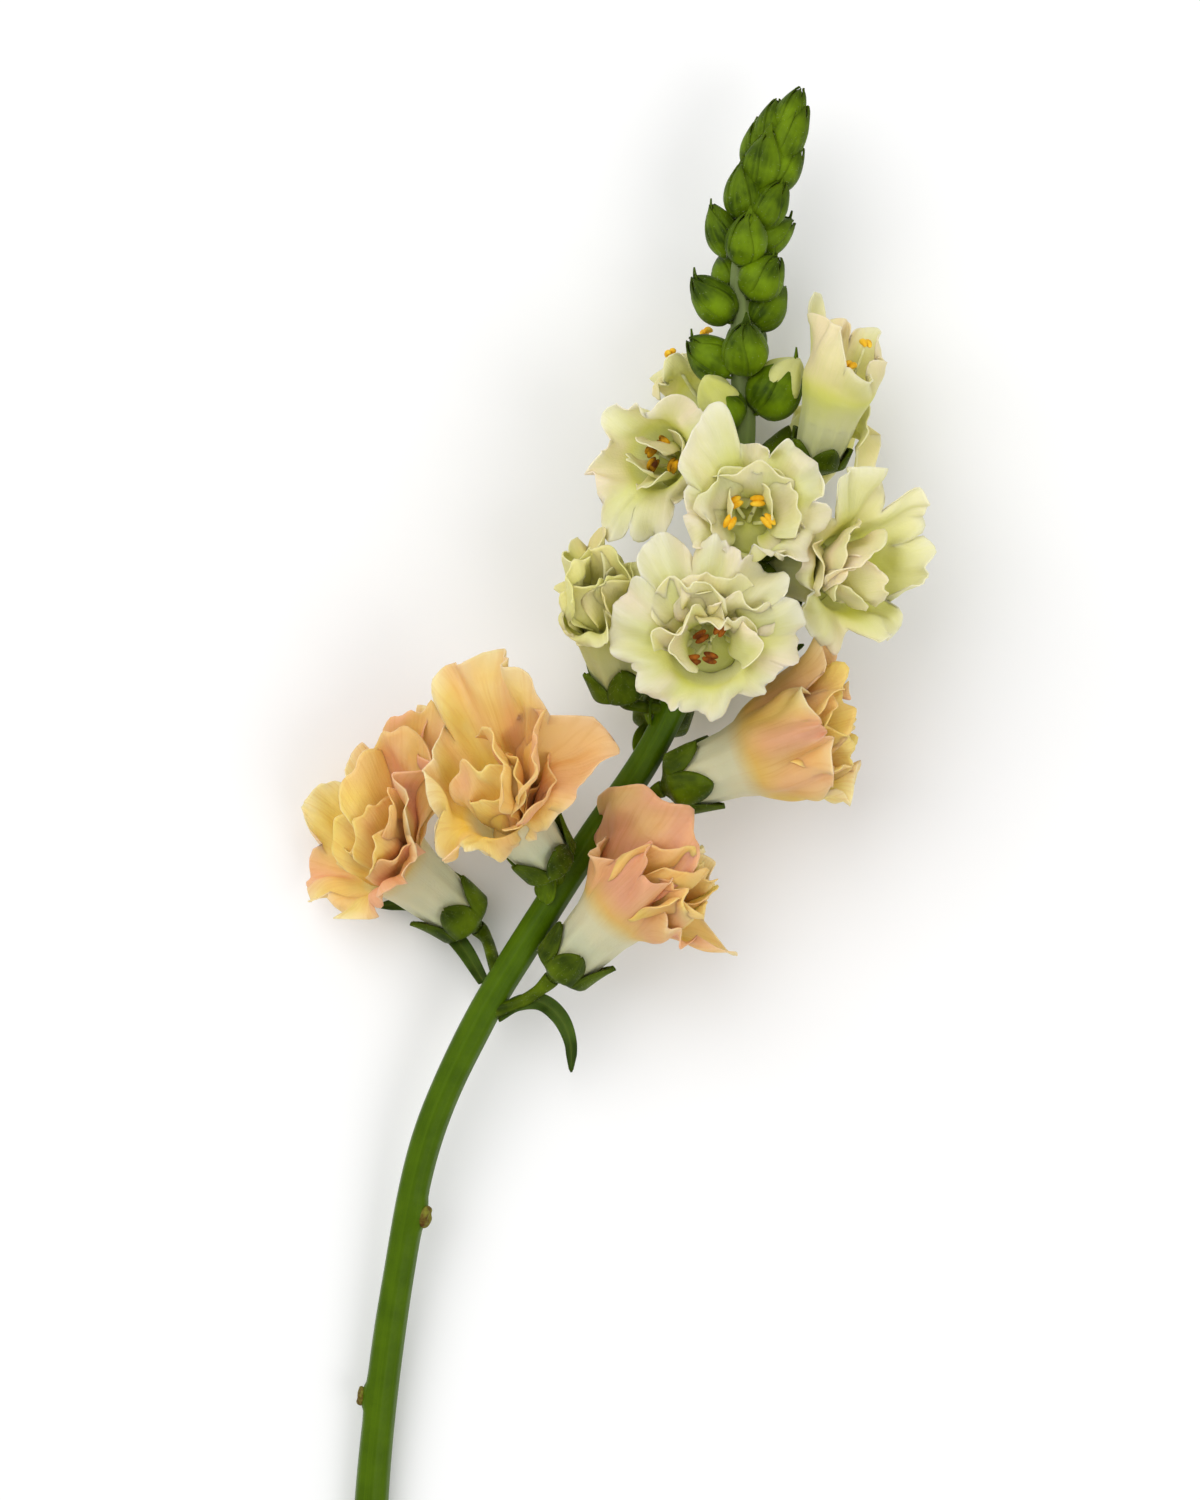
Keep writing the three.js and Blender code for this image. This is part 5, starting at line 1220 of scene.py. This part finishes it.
def calyx_sheets(bloom, seed):
    pieces = []
    for k in range(SEPALS):

        def sepal(across, along, k=k):
            length = SEPAL_LENGTH * bloom.calyx * (1 + 0.06 * math.sin(2.1 * k + seed))
            outline = np.clip(1 - along**2.4, 0, 1) ** 0.75
            forward = -CUP * 0.8 + along * (length + CUP * 0.8)
            radius = bloom.tube_radius(np.clip(forward / bloom.tube, 0, 1)) * ease((along + 0.02) / 0.3)
            radius = radius + 0.7 + 0.16 * across + 0.85 * (1 - across**2) * ease(along * 3)
            radius = radius + (0.4 + 0.4 * math.sin(5 * k + seed)) * along**4
            turn = 72 * k + 36 + across * (SEPAL_HALF_ANGLE * outline + 1.5)
            return bloom.points(forward - bloom.tube, radius, turn)

        def marks(across, along):
            return {"tip": 0.35 * ease((along - 0.6) / 0.4) + 0.35 * np.abs(across) ** 5}

        pieces.append(sheet("sepal", *SEPAL_GRID, sepal, marks))
    return pieces


def stalk_sheet(bloom):
    centre, direction, out, radius = stem_frame(*bloom.stalk)
    end = bloom.mouth - bloom.out * (bloom.tube + CUP * 0.6)
    reach = np.linalg.norm(end - centre)
    first = centre + out * reach * 0.35 + direction * reach * 0.15
    second = end - bloom.out * reach * 0.3

    def place(across, along):
        line, heading = cubic(centre, first, second, end, along)
        thick = STALK_RADIUS * (1 + 1.1 * np.exp(-along * 7) + 0.5 * ease((along - 0.7) / 0.3))
        return line + turned(*beside(heading, UP + 0.01), across * math.pi) * thick[:, None]

    return sheet("stalk", *STALK_GRID, place, no_tip)


for name, bloom in BLOOMS.items():
    stalk = stalk_sheet(bloom)
    weld(stalk)
    calyx = fuse(f"sepals_{name}", calyx_sheets(bloom, int(name)) + [stalk])
    complete(calyx, SEPAL, sepal_green, "calyx", f"calyx_{name}")

# %% [markdown]
# ## Stamens
#
# Four filaments rise from the throat, each with a two-lobed anther across its tip, and a
# style stands between them. The anthers of an old bloom have shed and turned brown.

# %% Filaments and anthers
ANTHERS = {  # sideways, up towards the lip, forward from the mouth, and the turn of the anther
    "01": [(-1.2, -2.6, 12, 20), (-3.7, -0.7, 7.6, -30), (-3.2, -1.4, 0, 60), (3, -1.4, 0, 10)],
    "02": [(-2.4, 1.4, 0.4, 40), (0.4, 3, 0.6, -30), (-1.2, -1.6, 1, 60), (2.6, -1.6, -0.6, 70)],
    "03": [(9.5, -1.9, 7.2, 20), (2, 6.6, 9.4, -30), (-3.2, -1.4, 0, 60), (3, -1.4, 0, 10)],
    "04": [(-2.8, 3.2, -0.6, 25), (1.6, 3.3, -0.4, 0), (-4.1, -0.8, 0, 60), (3.4, -0.8, 0, -50)],
    "05": [(-3.2, -3, -0.4, 10), (0.2, -2.6, -0.2, -20), (2.4, 3, 0.2, 60), (-1.5, 1.5, -1, 30)],
}
ANTHER_SIZE = (1.55, 1.05, 0.95)
POLLEN_OF = {"02": turning_pollen, "05": old_pollen}
STYLE = (0.2, 0.6, 1.2)  # its tip: sideways, up and forward
FILAMENT_THICKNESS = 0.42
STYLE_THICKNESS = 0.5
THREAD_GRID = (10, 14)
ANTHER_GRID = (16, 10)


def anther(bloom, sideways, up, forward, turn):
    """Two fused lobes, as from squeezed spheres, lying across the filament's tip."""
    turn = math.radians(turn)
    across_axis, along_axis = turned(bloom.side, bloom.up, turn), turned(bloom.up, -bloom.side, turn)
    middle = bloom.mouth + bloom.side * sideways + bloom.up * up + bloom.out * (forward + 0.6)
    length, width, height = ANTHER_SIZE
    pieces = []
    for way in (-1, 1):
        lobe, corners = ball(*ANTHER_GRID)
        x, y, z = (corners[:, k:k + 1] for k in range(3))
        points = middle + along_axis * (way * 0.5 * width + y * width * 0.62)
        points = points + across_axis * x * length + bloom.out * (z * height * 0.7 - 0.35 * x**2)
        move_corners(lobe.data, points)
        pieces.append(lobe)
    return pieces


def filament_sheet(bloom, sideways, up, forward, thickness):
    apart = bloom.side * sideways + bloom.up * up
    foot = bloom.mouth + apart * 0.3 + bloom.out * (INNER_FOOT + 0.4)
    end = bloom.mouth + apart + bloom.out * (forward + 0.2)

    def place(across, along):
        t = along[:, None]
        line = foot * (1 - t) + end * t + apart * (0.56 * t * (1 - t))
        thick = thickness * (1 - 0.35 * along)
        return line + turned(bloom.side, bloom.up, across * math.pi) * thick[:, None]

    return sheet("filament", *THREAD_GRID, place)


def close_ends(piece):
    """Fills the open rings of rolled sheets."""
    select(piece)
    bpy.ops.object.mode_set(mode="EDIT")
    bpy.ops.mesh.select_all(action="DESELECT")
    bpy.ops.mesh.select_mode(type="EDGE")
    bpy.ops.mesh.select_non_manifold()
    bpy.ops.mesh.fill()
    bpy.ops.mesh.select_all(action="SELECT")
    bpy.ops.mesh.normals_make_consistent(inside=False)
    bpy.ops.mesh.select_mode(type="VERT")
    bpy.ops.object.mode_set(mode="OBJECT")


for name, places in ANTHERS.items():
    bloom = BLOOMS[name]
    heads = fuse(f"anthers_{name}", [lobe for spot in places for lobe in anther(bloom, *spot)])
    complete(heads, 0, POLLEN_OF.get(name, pollen), "stamens", f"stamens_{name}")
    threads = [filament_sheet(bloom, *spot[:3], FILAMENT_THICKNESS) for spot in places]
    stalks = fuse(f"filaments_{name}", threads + [filament_sheet(bloom, *STYLE, STYLE_THICKNESS)])
    weld(stalks)
    close_ends(stalks)
    complete(stalks, 0, filament_cream, "stamens")

# %% [markdown]
# ## Hairs
#
# Buds, sepals and the outside of the tubes carry short pale hairs. Each hair is a slim spike
# with three sides. Its root is a random place on the skin, drawn with a fixed seed.

# %% Hair on the green parts
SPIKE = np.array([[0, 2, 1], [0, 1, 3], [1, 2, 3], [2, 0, 3]])  # faces of a hair
BUD_HAIR = (12000, 0.65, 0.011)  # number of hairs, length and thickness
SEPAL_HAIR = (1200, 0.5, 0.01)
TUBE_HAIR = (3000, 0.4, 0.009)
BARE_RIM = 1.5 * MM  # hairs end this far behind the mouth of a tube
LEAN = 0.35
ROOT = 0.05 * MM  # depth of a root under the skin


def skin_samples(piece, count, dice):
    """Random places on a mesh, with the normal there."""
    piece.data.calc_loop_triangles()
    triangles = piece.data.loop_triangles
    faces = np.empty(len(triangles) * 3, dtype=np.int32)
    triangles.foreach_get("vertices", faces)
    a, b, c = (corners_of(piece.data)[faces.reshape(-1, 3)[:, k]] for k in range(3))
    cross = np.cross(b - a, c - a)
    area = np.linalg.norm(cross, axis=1)
    pick = dice.choice(len(area), size=count, p=area / area.sum())
    first, second = dice.random((2, count, 1))
    flip = first + second > 1
    first, second = np.where(flip, 1 - first, first), np.where(flip, 1 - second, second)
    roots = a[pick] + (b[pick] - a[pick]) * first + (c[pick] - a[pick]) * second
    return roots, cross[pick] / area[pick, None]


def hairs(name, piece, growth, seed, slot, keep=None):
    """Grows hairs on a piece, on the whole of it or where keep(roots) is true."""
    count, length, thickness = growth
    dice = np.random.default_rng(seed)
    roots, normals = skin_samples(bpy.data.objects[piece], count, dice)
    if keep is not None:
        chosen = keep(roots)
        roots, normals = roots[chosen], normals[chosen]
    count = len(roots)
    lean = unit(normals + dice.normal(0, LEAN, (count, 3)))
    tips = roots + lean * length * MM * dice.uniform(0.5, 1.1, (count, 1))
    side = unit(np.cross(lean, dice.normal(0, 1, (count, 3))))
    other = np.cross(lean, side)
    ring = [side, side * -0.5 + other * 0.87, side * -0.5 - other * 0.87]
    corners = [roots - normals * ROOT + spoke * thickness * MM for spoke in ring] + [tips]
    faces = (np.arange(count)[:, None, None] * 4 + SPIKE).reshape(-1, 3)
    mesh = bpy.data.meshes.new(name)
    mesh.from_pydata(np.stack(corners, axis=1).reshape(-1, 3).tolist(), [], faces.tolist())
    settle(linked(name, mesh), hair_white, slot)


hairs("bud_hairs", "buds", BUD_HAIR, 11, "stem")
for name in BLOOMS:
    hairs(f"sepal_hairs_{name}", f"sepals_{name}", SEPAL_HAIR, 20 + int(name), "calyx")
for name, bloom in BLOOMS.items():

    def on_tube(roots, bloom=bloom):
        return (roots - to_frame(bloom.mouth)) @ bloom.out < -BARE_RIM

    hairs(f"tube_hairs_{name}", f"petals_{name}", TUBE_HAIR, 50 + int(name), "cream_petals", on_tube)

# %% [markdown]
# ## Table, light and camera
#
# The camera looks straight down on the lying stem. A large soft light from the upper left and
# a bright even surround keep the shadows pale.

# %% Stage
FLOOR_SIZE = 3.0
SURROUND = 0.65
select()
bpy.ops.mesh.primitive_plane_add(size=FLOOR_SIZE, location=(0, 0, 0))
floor = bpy.context.object
floor.name = "table"
table_white, table_tree, table_shader = new_finish("pale table", 0.9)
table_tone = mixed(table_tree, noise(table_tree, 4, 2.0), screen(246, 246, 246), screen(250, 250, 250))
table_tree.links.new(table_tone, table_shader.inputs["Base Color"])
floor.data.materials.append(table_white)

bpy.context.scene.view_settings.view_transform = "Standard"
world = bpy.data.worlds.new("soft surround")
bpy.context.scene.world = world
world.use_nodes = True
world.node_tree.nodes["Background"].inputs["Color"].default_value = (1, 1, 1, 1)
world.node_tree.nodes["Background"].inputs["Strength"].default_value = SURROUND


def soft_light(name, place, size, power):
    """A round light that shines from its place to the middle of the table."""
    lamp = bpy.data.lights.new(name, "AREA")
    lamp.shape = "DISK"
    lamp.size = size
    lamp.energy = power
    holder = linked(name, lamp)
    holder.location = place
    x, y, z = place
    holder.rotation_euler = (0, -math.acos(z / math.hypot(x, y, z)), math.atan2(-y, -x))


soft_light("key", (-0.55, 0.5, 1.15), 1.3, 9.0)
soft_light("fill", (0.7, -0.4, 1.2), 0.8, 4)

# %% [markdown]
# The camera stands a metre over the table, so the stem shows little perspective. Its lens
# follows from that height and from the length that it has to show.

# %% Camera
VIEW_LENGTH = 0.3  # height of the view at the level of the stem
SENSOR = 36.0
camera_data = bpy.data.cameras.new("camera")
camera_data.sensor_fit = "AUTO"
camera_data.sensor_width = SENSOR
camera_data.lens = SENSOR * (CAMERA_HEIGHT - VIEW_LEVEL) / VIEW_LENGTH
camera_data.clip_end = 10
camera = linked("camera", camera_data)
camera.location = (-CENTRE[0] * MM, -CENTRE[1] * MM, CAMERA_HEIGHT)
bpy.context.scene.camera = camera

# %% [markdown]
